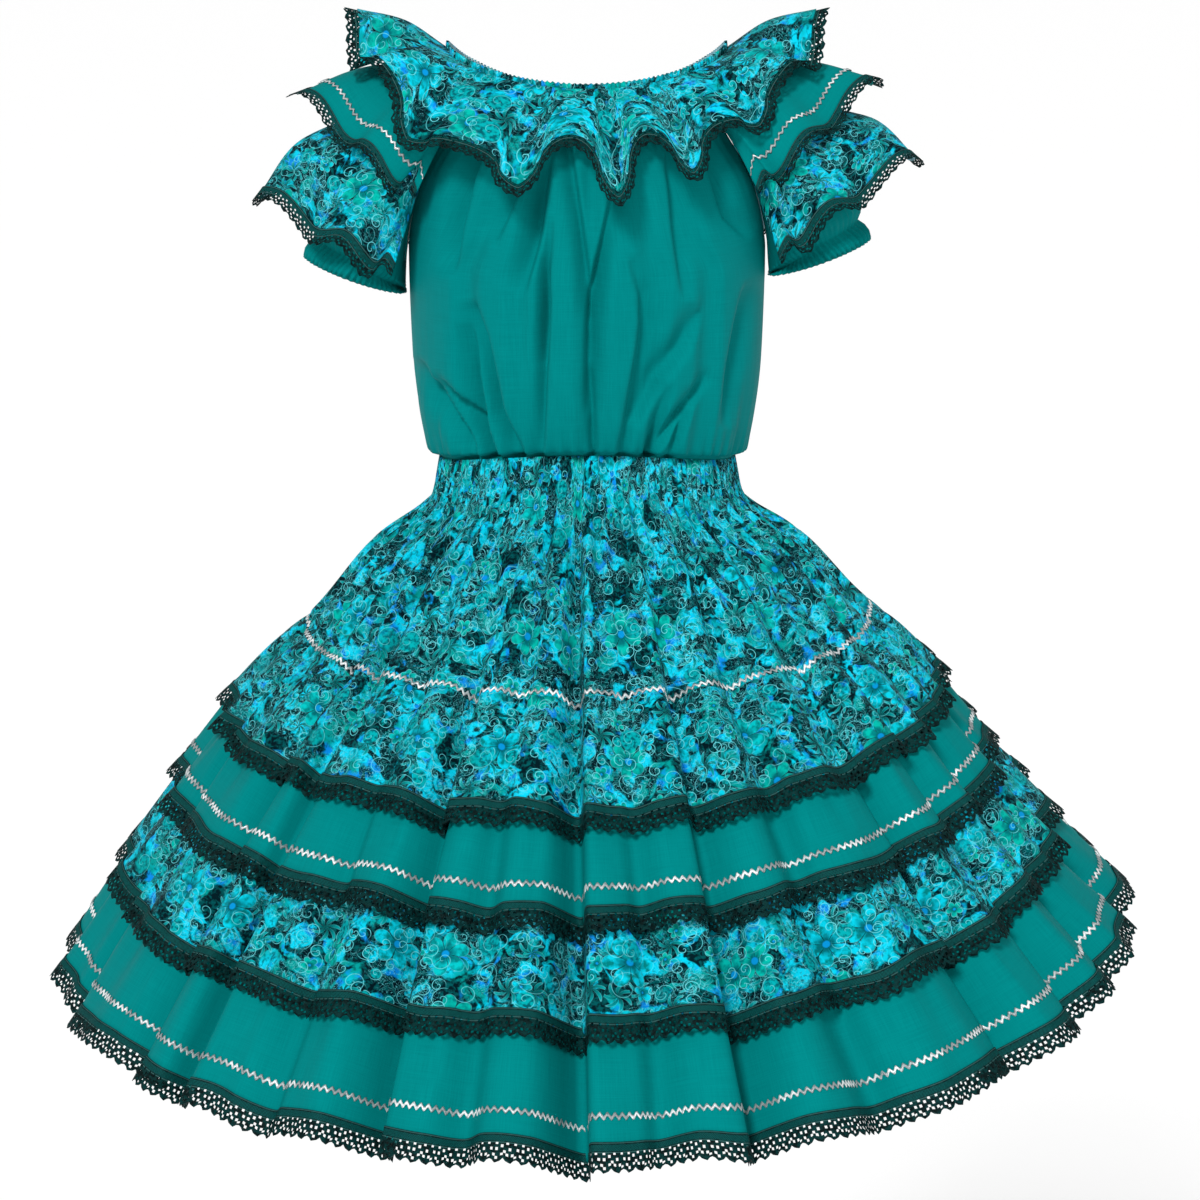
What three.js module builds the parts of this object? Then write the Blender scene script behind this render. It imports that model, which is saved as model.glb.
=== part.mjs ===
// Square dance dress in millimetres, +Z up, front towards -Y, +X on the wearer's left.
// It keeps the hollow form it has when worn: a peasant blouse with an elastic neck and ruffled raglan
// sleeves, bloused over the shirred waist of a five-tier skirt. The origin is the middle of the neckline
// at shoulder height, where the wearer holds the dress up.
import * as THREE from 'three';

// ---- driving sizes ----
const cloth = 1.2;              // wall of one cotton layer
const laceWall = 1.0;
const braidWall = 1.0;
const seamGap = 0.3;            // left between two pieces that are sewn together
const waistZ = -347;            // waist seam below the neckline
const waistRise = 18;           // and it runs this much higher across the front
const laceWidth = 21;           // lace that hangs below an edge
const ruffleLaceWidth = 16;     // the same on the neck and sleeve ruffles
const laceLap = 4;              // lace that is stitched onto the cloth above the edge
const braidWidth = 5.6;         // rickrack, from tip to tip
const laceStand = (cloth + laceWall) / 2 + seamGap + 0.2;    // from a panel's middle to its lace's
const braidStand = (cloth + braidWall) / 2 + seamGap + 0.2;

// ---- colours ----
const plain = { color: 0x028c8a, roughness: 0.8, metalness: 0 };
const print = { color: 0x14a0ac, roughness: 0.8, metalness: 0 };
const lace = { color: 0x0a0d10, roughness: 0.7, metalness: 0 };
const braid = { color: 0xdfe3e4, roughness: 0.35, metalness: 0.4 };

const dress = new THREE.Group();
const rad = THREE.MathUtils.degToRad;
const lerp = THREE.MathUtils.lerp;
const clamp = THREE.MathUtils.clamp;

// Reads a named column of a table at a value of its key column, straight between the rows.
function readTable(rows, key, at, column) {
  let k = 0;
  while (k < rows.length - 2 && rows[k + 1][key] < at) k += 1;
  const [low, high] = [rows[k], rows[k + 1]];
  const share = clamp((at - low[key]) / (high[key] - low[key]), 0, 1);
  return lerp(low[column], high[column], share);
}

// The mitred normal of a surface at column c, facing out, so that a wall keeps its thickness round a fold.
// surface(u, v) gives a point: u runs round anticlockwise seen from above, v runs down.
function mitredNormal({ surface, columns, ring, step }, c, v) {
  const count = columns.length;
  const here = surface(columns[c], v);
  const down = surface(columns[c], v + step).sub(surface(columns[c], v - step));
  const sides = [];
  if (ring || c > 0) sides.push(here.clone().sub(surface(columns[(c - 1 + count) % count], v)));
  if (ring || c < count - 1) sides.push(surface(columns[(c + 1) % count], v).sub(here));
  const [first, second = first] = sides.map((side) => down.clone().cross(side).normalize());
  return first.clone().add(second).divideScalar(Math.max(1 + first.dot(second), 0.7));
}

// A closed cloth wall on a surface: columns and rows are the u and v of its points, lift is how far its
// middle stands off the surface at v. A ring's columns go all the way round.
function clothWall(sheet) {
  const { surface, columns, rows, ring = false, lift = () => 0, thickness = cloth } = sheet;
  const count = columns.length;
  const half = rows.length * count;
  const points = [];
  for (const side of [0.5, -0.5]) {
    for (const v of rows) {
      for (let c = 0; c < count; c += 1) {
        const normal = mitredNormal(sheet, c, v);
        points.push(surface(columns[c], v).addScaledVector(normal, lift(v) + side * thickness));
      }
    }
  }
  const faces = [];
  const quad = (a, b, c, d) => faces.push(a, b, c, a, c, d);
  const spans = ring ? count : count - 1;
  for (let r = 0; r < rows.length - 1; r += 1) {
    for (let c = 0; c < spans; c += 1) {
      const next = (c + 1) % count;
      const [a, b] = [r * count + c, r * count + next];
      const [e, d] = [a + count, b + count];
      // The quad is creased along the diagonal that lies further in, so that nothing on it is cut.
      const facing = points[d].clone().sub(points[a]).cross(points[e].clone().sub(points[b]));
      const apart = points[a].clone().add(points[d]).sub(points[b]).sub(points[e]);
      if (apart.dot(facing) > 0) {
        quad(a, e, d, b);
        quad(half + a, half + b, half + d, half + e);
      } else {
        quad(e, d, b, a);
        quad(half + b, half + d, half + e, half + a);
      }
    }
  }
  const last = (rows.length - 1) * count;
  for (let c = 0; c < spans; c += 1) {
    const next = (c + 1) % count;
    quad(c, next, half + next, half + c);
    quad(last + next, last + c, half + last + c, half + last + next);
  }
  if (!ring) {
    for (let a = 0; a < last; a += count) {
      quad(a + count, a, half + a, half + a + count);
      const d = a + count - 1;
      quad(d, d + count, half + d + count, half + d);
    }
  }
  const geometry = new THREE.BufferGeometry();
  geometry.setAttribute('position', new THREE.Float32BufferAttribute(points.flatMap((p) => p.toArray()), 3));
  geometry.setIndex(faces);
  return geometry;
}

function addPiece(name, sheet, look) {
  const mesh = new THREE.Mesh(clothWall(sheet), new THREE.MeshStandardMaterial(look));
  mesh.name = name;
  dress.add(mesh);
}

// ---- skirt ----
// Profile of the skirt: slant is the cloth's length from the waist seam, drop is down from it, and hollow is
// how far the +X side falls in.
const skirtProfile = [
  { slant: 0, halfWidth: 129, halfDepth: 95, drop: 0, hollow: 0 },
  { slant: 32, halfWidth: 133, halfDepth: 101, drop: 31, hollow: 0 },
  { slant: 110, halfWidth: 190, halfDepth: 164, drop: 84, hollow: 0 },
  { slant: 200, halfWidth: 248, halfDepth: 234, drop: 148, hollow: 0 },
  { slant: 216, halfWidth: 261, halfDepth: 246, drop: 155, hollow: 2 },
  { slant: 299, halfWidth: 314, halfDepth: 298, drop: 213, hollow: 12 },
  { slant: 380, halfWidth: 359, halfDepth: 341, drop: 279, hollow: 16 },
  { slant: 464, halfWidth: 407, halfDepth: 387, drop: 349, hollow: 14 },
  { slant: 560, halfWidth: 458, halfDepth: 432, drop: 431, hollow: 2 },
  { slant: 600, halfWidth: 477, halfDepth: 450, drop: 465, hollow: 0 },
];
const hemSlant = 560;
const foldStart = 30;           // slant where the folds begin
const riseSlants = { from: 32, to: 200 };   // the waist's rise at the front fades out between these
const hemLean = 7;              // the skirt swings this far to +X at its hem
const frontDrop = 11;           // the lower tiers hang this much lower across the front
const dropSlants = { from: 200, to: 299 };
const hemTilt = 0.055;          // and its +X side hangs this share of x higher

// Valleys between the broad folds, by azimuth from the front middle towards +X: depth is at the hem,
// half is the valley's half width in degrees.
const valleys = [
  { azimuth: -85, depth: 14, half: 3.8 }, { azimuth: -71, depth: 20, half: 3.4 },
  { azimuth: -54, depth: 32, half: 3.2 }, { azimuth: -45, depth: 26, half: 2.8 },
  { azimuth: -34, depth: 13, half: 3.2 }, { azimuth: -23, depth: 34, half: 3.2 },
  { azimuth: -13, depth: 12, half: 3.0 }, { azimuth: -3, depth: 40, half: 3.0 },
  { azimuth: 7, depth: 11, half: 2.8 }, { azimuth: 17, depth: 26, half: 3.2 },
  { azimuth: 28, depth: 14, half: 3.4 }, { azimuth: 47, depth: 34, half: 3.4 },
  { azimuth: 58, depth: 13, half: 3.2 }, { azimuth: 69, depth: 29, half: 3.4 },
  { azimuth: 82, depth: 14, half: 3.8 }, { azimuth: 98, depth: 24, half: 4.0 },
  { azimuth: 115, depth: 30, half: 4.2 }, { azimuth: 135, depth: 17, half: 4.6 },
  { azimuth: 152, depth: 32, half: 4.2 }, { azimuth: 171, depth: 20, half: 4.6 },
  { azimuth: 190, depth: 34, half: 4.2 }, { azimuth: 211, depth: 18, half: 4.6 },
  { azimuth: 229, depth: 30, half: 4.2 }, { azimuth: 252, depth: 21, half: 4.6 },
];
// Three columns of points to a valley: its two shoulders and its bottom.
const skirtColumns = valleys.flatMap(({ azimuth, half }) => [azimuth - half, azimuth, azimuth + half]);

function valleyDepth(azimuth, slant) {
  const grown = clamp((slant - foldStart) / (hemSlant - foldStart), 0, 1.1);
  let depth = 0;
  for (const valley of valleys) {
    const away = Math.abs(((azimuth - valley.azimuth + 540) % 360) - 180) / valley.half;
    if (away < 1) depth += valley.depth * 0.5 * (1 + Math.cos(Math.PI * away));
  }
  return depth * grown;
}

// 1 at the front middle, and 0 from the sides back.
function frontShare(turn) {
  return Math.max(Math.cos(turn), 0) ** 2;
}

// A valley sinks at right angles to the skirt's slope, so its hem hangs lower.
function skirtPoint(azimuth, slant) {
  const read = (column, shift = 0) => readTable(skirtProfile, 'slant', slant + shift, column);
  const reach = 12;
  const slope = Math.atan2(
    read('halfWidth', reach) - read('halfWidth', -reach),
    read('drop', reach) - read('drop', -reach),
  );
  const sunk = valleyDepth(azimuth, slant);
  const turn = rad(azimuth);
  const along = Math.max(slant, 0) / hemSlant;
  const side = Math.sin(turn);
  const hollow = read('hollow') * Math.max(side, 0) ** 2;
  const x = (read('halfWidth') - sunk * Math.cos(slope)) * side - hollow + hemLean * along ** 2;
  const y = (sunk * Math.cos(slope) - read('halfDepth')) * Math.cos(turn);
  const tilt = hemTilt * along ** 0.7 * x * Math.abs(side);
  const risen = clamp((riseSlants.to - slant) / (riseSlants.to - riseSlants.from), 0, 1);
  const lowered = clamp((slant - dropSlants.from) / (dropSlants.to - dropSlants.from), 0, 1);
  const shift = waistRise * risen - frontDrop * lowered;
  const z = waistZ - read('drop') - sunk * Math.sin(slope) + tilt + frontShare(turn) * shift;
  return new THREE.Vector3(x, y, z);
}
const onSkirt = { surface: skirtPoint, columns: skirtColumns, ring: true, step: 4 };

// Each tier starts inside the edge of the tier above, runs alongside it there, then flares out past it.
const tuck = 8;                 // length of a tier's top hidden by the tier above
const flare = 3.5;              // how far a tier stands out from its own top
const stepOut = flare - cloth - seamGap;
const tiers = [
  { level: 0, from: 0, to: 200, rows: [0, 32, 110, 200], look: print },
  { level: 0, from: 200, to: 299, rows: [200.5, 216, 299 - tuck, 299], look: print },
  { level: 1, from: 299, to: 380, rows: [299 - tuck, 299, 380 - tuck, 380], look: plain },
  { level: 2, from: 380, to: 464, rows: [380 - tuck, 380, 464 - tuck, 464], look: print },
  { level: 3, from: 464, to: 560, rows: [464 - tuck, 464, 560], look: plain },
];

// How far the middle of a tier's wall stands off the skirt's surface.
function tierLift(tier, slant) {
  const share = clamp((slant - tier.from) / (tier.to - tuck - tier.from), 0, 1);
  return tier.level * stepOut + (tier.from === 0 ? 0 : flare * share);
}

const laceFlare = 3;            // the lace's free edge stands out this much further
tiers.forEach((tier, k) => {
  const lift = (slant) => tierLift(tier, slant);
  addPiece(`skirt_tier_${k + 1}`, { ...onSkirt, rows: tier.rows, lift }, tier.look);
  if (k === 0) return;
  const laceRows = [tier.to - laceLap, tier.to + laceWidth];
  const laceLift = (slant) => lift(tier.to) + laceStand + (slant > tier.to ? laceFlare : 0);
  addPiece(`skirt_lace_${k + 1}`, { ...onSkirt, rows: laceRows, lift: laceLift, thickness: laceWall }, lace);
});

// Rickrack: over the seam between the first two tiers, and above the edges of the two plain tiers.
const skirtBraids = [
  { name: 'skirt_rickrack_2', slant: 196.8, tier: tiers[0] },
  { name: 'skirt_rickrack_3', slant: 358, tier: tiers[2] },
  { name: 'skirt_rickrack_5', slant: 534, tier: tiers[4] },
];
for (const { name, slant, tier } of skirtBraids) {
  const rows = [slant - braidWidth / 2, slant + braidWidth / 2];
  const lift = (v) => tierLift(tier, v) + braidStand;
  addPiece(name, { ...onSkirt, rows, lift, thickness: braidWall }, braid);
}

// ---- blouse body ----
// Rows from the neck down. A row's points lie on an ellipse of halfWidth and depth, from the middle out to
// the angle `reach`: to the raglan seam above the underarm row, and to the side seam below it. rise is the
// share of the waist's rise at the front that the row takes.
const casingHeight = 14;
const underarmRow = 4;
const sideReach = 89.82;
const frontRows = [
  { middleZ: -40.6, edgeZ: -28, halfWidth: 116, depth: 97, reach: 48, rise: 0 },
  { middleZ: -75, edgeZ: -70, halfWidth: 136, depth: 113, reach: 58, rise: 0 },
  { middleZ: -112, edgeZ: -110, halfWidth: 148, depth: 122, reach: 68, rise: 0 },
  { middleZ: -150, edgeZ: -149, halfWidth: 151, depth: 127, reach: 78, rise: 0 },
  { middleZ: -184, edgeZ: -184, halfWidth: 151, depth: 128, reach: sideReach, rise: 0 },
  { middleZ: -262, edgeZ: -262, halfWidth: 149, depth: 124, reach: sideReach, rise: 0.4 },
  { middleZ: -322, edgeZ: -322, halfWidth: 141.5, depth: 114, reach: sideReach, rise: 0.85 },
  { middleZ: -342, edgeZ: -342, halfWidth: 136, depth: 105, reach: sideReach, rise: 1 },
  { middleZ: -346, edgeZ: -346, halfWidth: 126.6, depth: 92.6, reach: sideReach, rise: 1 },
  { middleZ: -360, edgeZ: -360, halfWidth: 126.6, depth: 92.6, reach: sideReach, rise: 1 },
];
const backRows = [
  { middleZ: -56.9, edgeZ: -36.9, halfWidth: 116, depth: 85, reach: 48, rise: 0 },
  { middleZ: -86, edgeZ: -74, halfWidth: 136, depth: 96, reach: 58, rise: 0 },
  { middleZ: -118, edgeZ: -111, halfWidth: 148, depth: 103, reach: 68, rise: 0 },
  { middleZ: -150, edgeZ: -149, halfWidth: 151, depth: 107, reach: 78, rise: 0 },
  { middleZ: -184, edgeZ: -184, halfWidth: 151, depth: 108, reach: sideReach, rise: 0 },
  { middleZ: -262, edgeZ: -262, halfWidth: 149, depth: 105, reach: sideReach, rise: 0 },
  { middleZ: -322, edgeZ: -322, halfWidth: 141.5, depth: 102, reach: sideReach, rise: 0 },
  { middleZ: -342, edgeZ: -342, halfWidth: 136, depth: 99, reach: sideReach, rise: 0 },
  { middleZ: -346, edgeZ: -346, halfWidth: 126.6, depth: 92.6, reach: sideReach, rise: 0 },
  { middleZ: -360, edgeZ: -360, halfWidth: 126.6, depth: 92.6, reach: sideReach, rise: 0 },
];
// Gathers of the blouse from the neck to the waist: at is the share across the panel, from -1 at one edge
// to 1 at the other, wide its half width as such a share, and depth how far it sinks between fromRow and 8.
const frontGathers = [
  { at: -0.74, depth: 4, wide: 0.08, fromRow: 5 }, { at: -0.46, depth: 6, wide: 0.08, fromRow: 1 },
  { at: -0.24, depth: 5, wide: 0.07, fromRow: 0 }, { at: 0.02, depth: 8, wide: 0.08, fromRow: 0 },
  { at: 0.25, depth: 5, wide: 0.07, fromRow: 1 }, { at: 0.47, depth: 5, wide: 0.08, fromRow: 0 },
  { at: 0.75, depth: 4, wide: 0.08, fromRow: 5 },
];
const backGathers = [
  { at: -0.76, depth: 4, wide: 0.08, fromRow: 3 }, { at: -0.5, depth: 6, wide: 0.08, fromRow: 0 },
  { at: -0.26, depth: 5, wide: 0.08, fromRow: 1 }, { at: 0.01, depth: 7, wide: 0.08, fromRow: 0 },
  { at: 0.28, depth: 5, wide: 0.08, fromRow: 1 }, { at: 0.52, depth: 6, wide: 0.08, fromRow: 0 },
  { at: 0.77, depth: 4, wide: 0.08, fromRow: 3 },
];
const tuckedRow = 8;            // the row where the blouse goes into the skirt's waist

function bodyPoint(facing, rows, gathers, across, row) {
  const read = (column) => readTable(rows, 'row', row, column);
  let sunk = 0;
  for (const { at, depth, wide, fromRow } of gathers) {
    const away = Math.abs(across - at) / wide;
    const share = (row - fromRow) / (tuckedRow - fromRow);
    if (away < 1 && share > 0 && share < 1) {
      sunk += depth * Math.sin(Math.PI * share) * 0.5 * (1 + Math.cos(Math.PI * away));
    }
  }
  const turn = rad(read('reach') * across);
  return new THREE.Vector3(
    (read('halfWidth') - sunk) * Math.sin(turn) * -facing,
    facing * (read('depth') - sunk) * Math.cos(turn),
    lerp(read('middleZ'), read('edgeZ'), across * across) + waistRise * read('rise') * frontShare(turn),
  );
}

function bodyPanel(facing, rows, gathers) {
  const numbered = rows.map((entry, row) => ({ ...entry, row }));
  return {
    surface: (across, row) => bodyPoint(facing, numbered, gathers, across, row),
    columns: [-1, ...gathers.flatMap(({ at, wide }) => [at - wide, at, at + wide]), 1],
    rows: rows.map((_, row) => row),
    step: 0.05,
  };
}
const front = bodyPanel(-1, frontRows, frontGathers);
const back = bodyPanel(1, backRows, backGathers);
addPiece('bodice_front', front, plain);
addPiece('bodice_back', back, plain);

// ---- neckline ----
// The elastic sits low on the chest, on top of the shoulders and across the upper back.
const neck = { halfWidth: 116, frontDepth: 97, backDepth: 85, shoulderZ: 2, frontDip: 28, backDip: 44 };
const casingWall = 2;

function neckPoint(azimuth, down) {
  const turn = rad(azimuth);
  const forward = Math.cos(turn);
  const [depth, dip] = forward > 0 ? [neck.frontDepth, neck.frontDip] : [neck.backDepth, neck.backDip];
  return new THREE.Vector3(
    neck.halfWidth * Math.sin(turn),
    -depth * forward,
    neck.shoulderZ - dip * Math.abs(forward) ** 1.5 - down,
  );
}

// Lobes where the neck ruffle's hem hangs low: swing is its share of the usual wave. Between two it arches.
const lobes = [
  { azimuth: -108, swing: 1.0 }, { azimuth: -73, swing: 1.2 }, { azimuth: -42, swing: 0.7 },
  { azimuth: -27, swing: 0.5 }, { azimuth: -15, swing: 1.1 }, { azimuth: 7, swing: 1.3 },
  { azimuth: 28, swing: 1.2 }, { azimuth: 50, swing: 1.1 }, { azimuth: 73, swing: 1.2 },
  { azimuth: 108, swing: 1.0 }, { azimuth: 127, swing: 1.1 }, { azimuth: 146, swing: 0.8 },
  { azimuth: 166, swing: 1.2 }, { azimuth: 187, swing: 1.0 }, { azimuth: 208, swing: 1.2 },
  { azimuth: 230, swing: 0.9 },
];
// power says how fast its height changes towards the shoulders.
const ruffleHem = {
  halfWidth: 190,
  shoulderZ: 14,
  front: { depth: 137, z: -83, power: 4 },
  back: { depth: 124, z: -92, power: 2 },
};
const lobeOut = 13;             // half the wave's swing away from the body
const lobeDown = 15;            // half the wave's rise and fall
const ruffleLaceStand = laceStand + 0.35;
// How the ruffle is shaped on its way down: fall 0 is at the casing, 1 at the hem, and more is the lace.
const ruffleFall = [
  { fall: 0, wave: 0, arch: 0 }, { fall: 0.45, wave: 0.33, arch: 1 },
  { fall: 1, wave: 1, arch: 0 }, { fall: 1.3, wave: 1.35, arch: -0.5 },
];
const lobeSpan = (k) => (lobes[(k + 1) % lobes.length].azimuth - lobes[k].azimuth + 360) % 360;
const quarters = [0, 0.25, 0.5, 0.75];
const lobeColumns = lobes.flatMap(({ azimuth }, k) => quarters.map((share) => azimuth + share * lobeSpan(k)));

// The wave at an azimuth: its swing on a lobe, and minus that halfway between two.
function lobeWave(azimuth) {
  const first = lobes[0].azimuth;
  const turned = ((((azimuth - first) % 360) + 360) % 360) + first;
  let k = lobes.length - 1;
  while (lobes[k].azimuth > turned) k -= 1;
  const share = (turned - lobes[k].azimuth) / lobeSpan(k);
  return Math.cos(2 * Math.PI * share) * lerp(lobes[k].swing, lobes[(k + 1) % lobes.length].swing, share);
}

function rufflePoint(azimuth, fall) {
  const turn = rad(azimuth);
  const [side, forward] = [Math.sin(turn), Math.cos(turn)];
  const facing = forward > 0 ? ruffleHem.front : ruffleHem.back;
  const wave = lobeWave(azimuth) * readTable(ruffleFall, 'fall', fall, 'wave');
  const arch = 9 * (0.3 + 0.7 * side * side) * readTable(ruffleFall, 'fall', fall, 'arch');
  const start = neckPoint(azimuth, 3);
  const offCasing = casingWall / 2 + seamGap + cloth / 2 + 0.1;
  start.x += offCasing * side;
  start.y -= offCasing * forward;
  const hemZ = lerp(facing.z, ruffleHem.shoulderZ, Math.abs(side) ** facing.power);
  const hem = new THREE.Vector3(ruffleHem.halfWidth * side, -facing.depth * forward, hemZ);
  const point = start.lerp(hem, fall);
  point.x += lobeOut * wave * side * Math.abs(forward);
  point.y -= lobeOut * wave * forward;
  point.z += arch - lobeDown * wave;
  return point;
}

addPiece('neck_casing', {
  surface: neckPoint,
  columns: Array.from({ length: 48 }, (_, c) => (360 * c) / 48),
  rows: [0, casingHeight],
  ring: true,
  step: 1,
  thickness: casingWall,
}, print);
const onRuffle = { surface: rufflePoint, columns: lobeColumns, ring: true, step: 0.02 };
const ruffleLength = 92;        // from the casing to the ruffle's hem
addPiece('neck_ruffle', { ...onRuffle, rows: [0, 0.45, 1] }, print);
addPiece('neck_lace', {
  ...onRuffle,
  rows: [1 - laceLap / ruffleLength, 1 + ruffleLaceWidth / ruffleLength],
  lift: () => ruffleLaceStand,
  thickness: laceWall,
}, lace);

// ---- sleeves ----
// Everything here is for the sleeve on +X; the other one is its mirror image with its own cuff height.
const cuff = { x: 197, z: -185, halfAcross: 45, halfDeep: 45, lean: 20, elastic: 3 };
const sleeveRings = [0, 0.3, 0.65, 0.93, 1];
const puff = 34;                // how far the top of the sleeve swells
const axisStart = new THREE.Vector3(128, 0, -95);
const seamPoints = 6;           // points down each raglan seam
const casingPoints = 9;         // points along the casing between the two seams
const armholeLap = 2.9;         // the sleeve lies this far outside the blouse body's edges

// The armhole's edge: up the front raglan seam, along the casing over the shoulder, down the back seam.
function armholeLoop() {
  const loop = [];
  for (let k = 0; k < seamPoints; k += 1) loop.push(front.surface(1, underarmRow * (1 - k / seamPoints)));
  for (let k = 0; k <= casingPoints; k += 1) {
    const azimuth = lerp(frontRows[0].reach, 180 - backRows[0].reach, k / casingPoints);
    loop.push(neckPoint(azimuth, casingHeight + seamGap + 0.2));
  }
  for (let k = 1; k < seamPoints; k += 1) loop.push(back.surface(-1, (underarmRow * k) / seamPoints));
  return loop;
}
const armhole = armholeLoop();
const ringSize = armhole.length;

// Away from the sleeve's axis, at a point that lies at a share of its length.
function awayFromAxis(point, share, raise) {
  const middle = new THREE.Vector3(cuff.x, 0, cuff.z + raise);
  const axis = middle.clone().sub(axisStart).normalize();
  const away = point.clone().sub(axisStart.clone().lerp(middle, share));
  return away.addScaledVector(axis, -away.dot(axis)).normalize();
}

// A point of the sleeve: c counts points round it from the underarm by the front, share is 0 at the armhole
// and 1 at the cuff. raise lifts the cuff.
function sleevePoint(c, share, raise) {
  const whole = Math.floor(c);
  const start = armhole[(whole + ringSize) % ringSize].clone();
  start.lerp(armhole[(whole + 1 + ringSize) % ringSize], c - whole);
  start.addScaledVector(new THREE.Vector3(start.x, start.y, 0).normalize(), armholeLap);
  const turn = Math.PI - (2 * Math.PI * c) / ringSize;
  const lean = rad(cuff.lean);
  const drawnIn = share > 0.9 ? cuff.elastic : 0;
  const across = (cuff.halfAcross - drawnIn) * Math.cos(turn);
  const rim = new THREE.Vector3(across * Math.cos(lean), 0, across * Math.sin(lean));
  rim.add(new THREE.Vector3(cuff.x, (drawnIn - cuff.halfDeep) * Math.sin(turn), cuff.z + raise));
  const point = start.lerp(rim, share);
  const onTop = 0.5 - 0.5 * Math.cos((2 * Math.PI * c) / ringSize);
  const swell = puff * onTop ** 1.3 * Math.sin(Math.PI * Math.max(share, 0) ** 0.85);
  return point.addScaledVector(awayFromAxis(point, share, raise), swell);
}

function sleeveNormal(c, share, raise) {
  const [aside, ahead] = [0.2, 0.02];
  const along = sleevePoint(c + aside, share, raise).sub(sleevePoint(c - aside, share, raise));
  const down = sleevePoint(c, share + ahead, raise).sub(sleevePoint(c, share - ahead, raise));
  return down.cross(along).normalize();
}

// Ruffles round the top of the sleeve, from the front raglan seam over the shoulder to the back one.
// seam: the share of the sleeve where they are sewn on, at the ends and on top, and their first and last
// column. hem: points of the free edge. bow: how far the ruffle swells out, at its ends and on top.
const sleeveRuffles = [
  {
    name: 'upper',
    look: plain,
    length: 118,
    raiseShare: 0.7,
    bow: { ends: 9, top: 10 },
    seam: { ends: 0.03, top: 0.05, first: 5, last: 16 },
    hem: [
      [138, -84, -112], [160, -91, -92], [202, -60, -57], [240, 0, -31],
      [202, 60, -56], [160, 88, -90], [138, 82, -108],
    ],
  },
  {
    name: 'lower',
    look: print,
    length: 100,
    raiseShare: 2,
    bow: { ends: 2, top: 13 },
    seam: { ends: 0.03, top: 0.42, first: 3.4, last: 17.6 },
    hem: [
      [158, -74, -172], [182, -80, -155], [228, -57, -128], [275, 0, -106],
      [228, 57, -127], [180, 80, -151], [154, 74, -168],
    ],
  },
];
const braidAbove = 23;          // from the ruffle's hem up to its rickrack
const sleeveWaves = 5.5;
const waveSwing = 9;
const sleeveRuffleColumns = 22;

function sleeveRuffleSurface({ seam, hem, bow, raiseShare }, raise) {
  const hemLine = new THREE.CatmullRomCurve3(hem.map((p) => new THREE.Vector3(...p)));
  return (along, fall) => {
    const onTop = Math.sin(Math.PI * clamp(along, 0, 1)) ** 0.8;
    const c = lerp(seam.first, seam.last, along);
    const share = lerp(seam.ends, seam.top, onTop);
    const start = sleevePoint(c, share, raise);
    const away = awayFromAxis(start, share, raise);
    start.addScaledVector(sleeveNormal(c, share, raise), cloth + 3.5 * seamGap);
    const end = hemLine.getPoint(clamp(along, 0, 1));
    end.z += raise * raiseShare * (0.3 + 0.7 * onTop);
    const wave = Math.sin(2 * Math.PI * sleeveWaves * along) * readTable(ruffleFall, 'fall', fall, 'wave');
    const swell = lerp(bow.ends, bow.top, onTop) * readTable(ruffleFall, 'fall', fall, 'arch');
    const point = start.lerp(end, fall).addScaledVector(away, swell);
    point.z += waveSwing * wave;
    return point;
  };
}

const sleeveSides = [{ suffix: 'left', side: 1, raise: 9 }, { suffix: 'right', side: -1, raise: -6 }];
for (const { suffix, side, raise } of sleeveSides) {
  // A mirrored surface keeps its outside out when its columns run the other way.
  const sided = (surface) => (u, v) => surface(u * side, v).multiply(new THREE.Vector3(side, 1, 1));
  addPiece(`sleeve_${suffix}`, {
    surface: sided((c, share) => sleevePoint((c + ringSize) % ringSize, share, raise)),
    columns: Array.from({ length: ringSize }, (_, c) => c),
    rows: sleeveRings,
    ring: true,
    step: 0.02,
  }, plain);
  for (const ruffle of sleeveRuffles) {
    const surface = sleeveRuffleSurface(ruffle, raise);
    const onPanel = {
      surface: side > 0 ? surface : (u, v) => surface(1 - u, v).multiply(new THREE.Vector3(-1, 1, 1)),
      columns: Array.from({ length: sleeveRuffleColumns + 1 }, (_, c) => c / sleeveRuffleColumns),
      step: 0.02,
    };
    addPiece(`sleeve_ruffle_${ruffle.name}_${suffix}`, { ...onPanel, rows: [0, 0.45, 1] }, ruffle.look);
    // A band on the ruffle, between two distances past its hem.
    const addBand = (name, from, to, thickness, look) => {
      const rows = [1 + from / ruffle.length, 1 + to / ruffle.length];
      addPiece(`${name}_${suffix}`, { ...onPanel, rows, thickness, lift: () => ruffleLaceStand }, look);
    };
    addBand(`sleeve_lace_${ruffle.name}`, -laceLap, ruffleLaceWidth, laceWall, lace);
    if (ruffle.look === plain) {
      addBand('sleeve_rickrack', -braidAbove - braidWidth, -braidAbove, braidWall, braid);
    }
  }
}

export default dress;
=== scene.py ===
# Square dance dress: a ruffled peasant blouse over a full tiered skirt, held in the form it has when worn.
# Metres, +Z up, the front towards -Y and the wearer's left towards +X.
import math

import bmesh
import bpy
import numpy as np
from mathutils import Matrix, Vector


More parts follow.
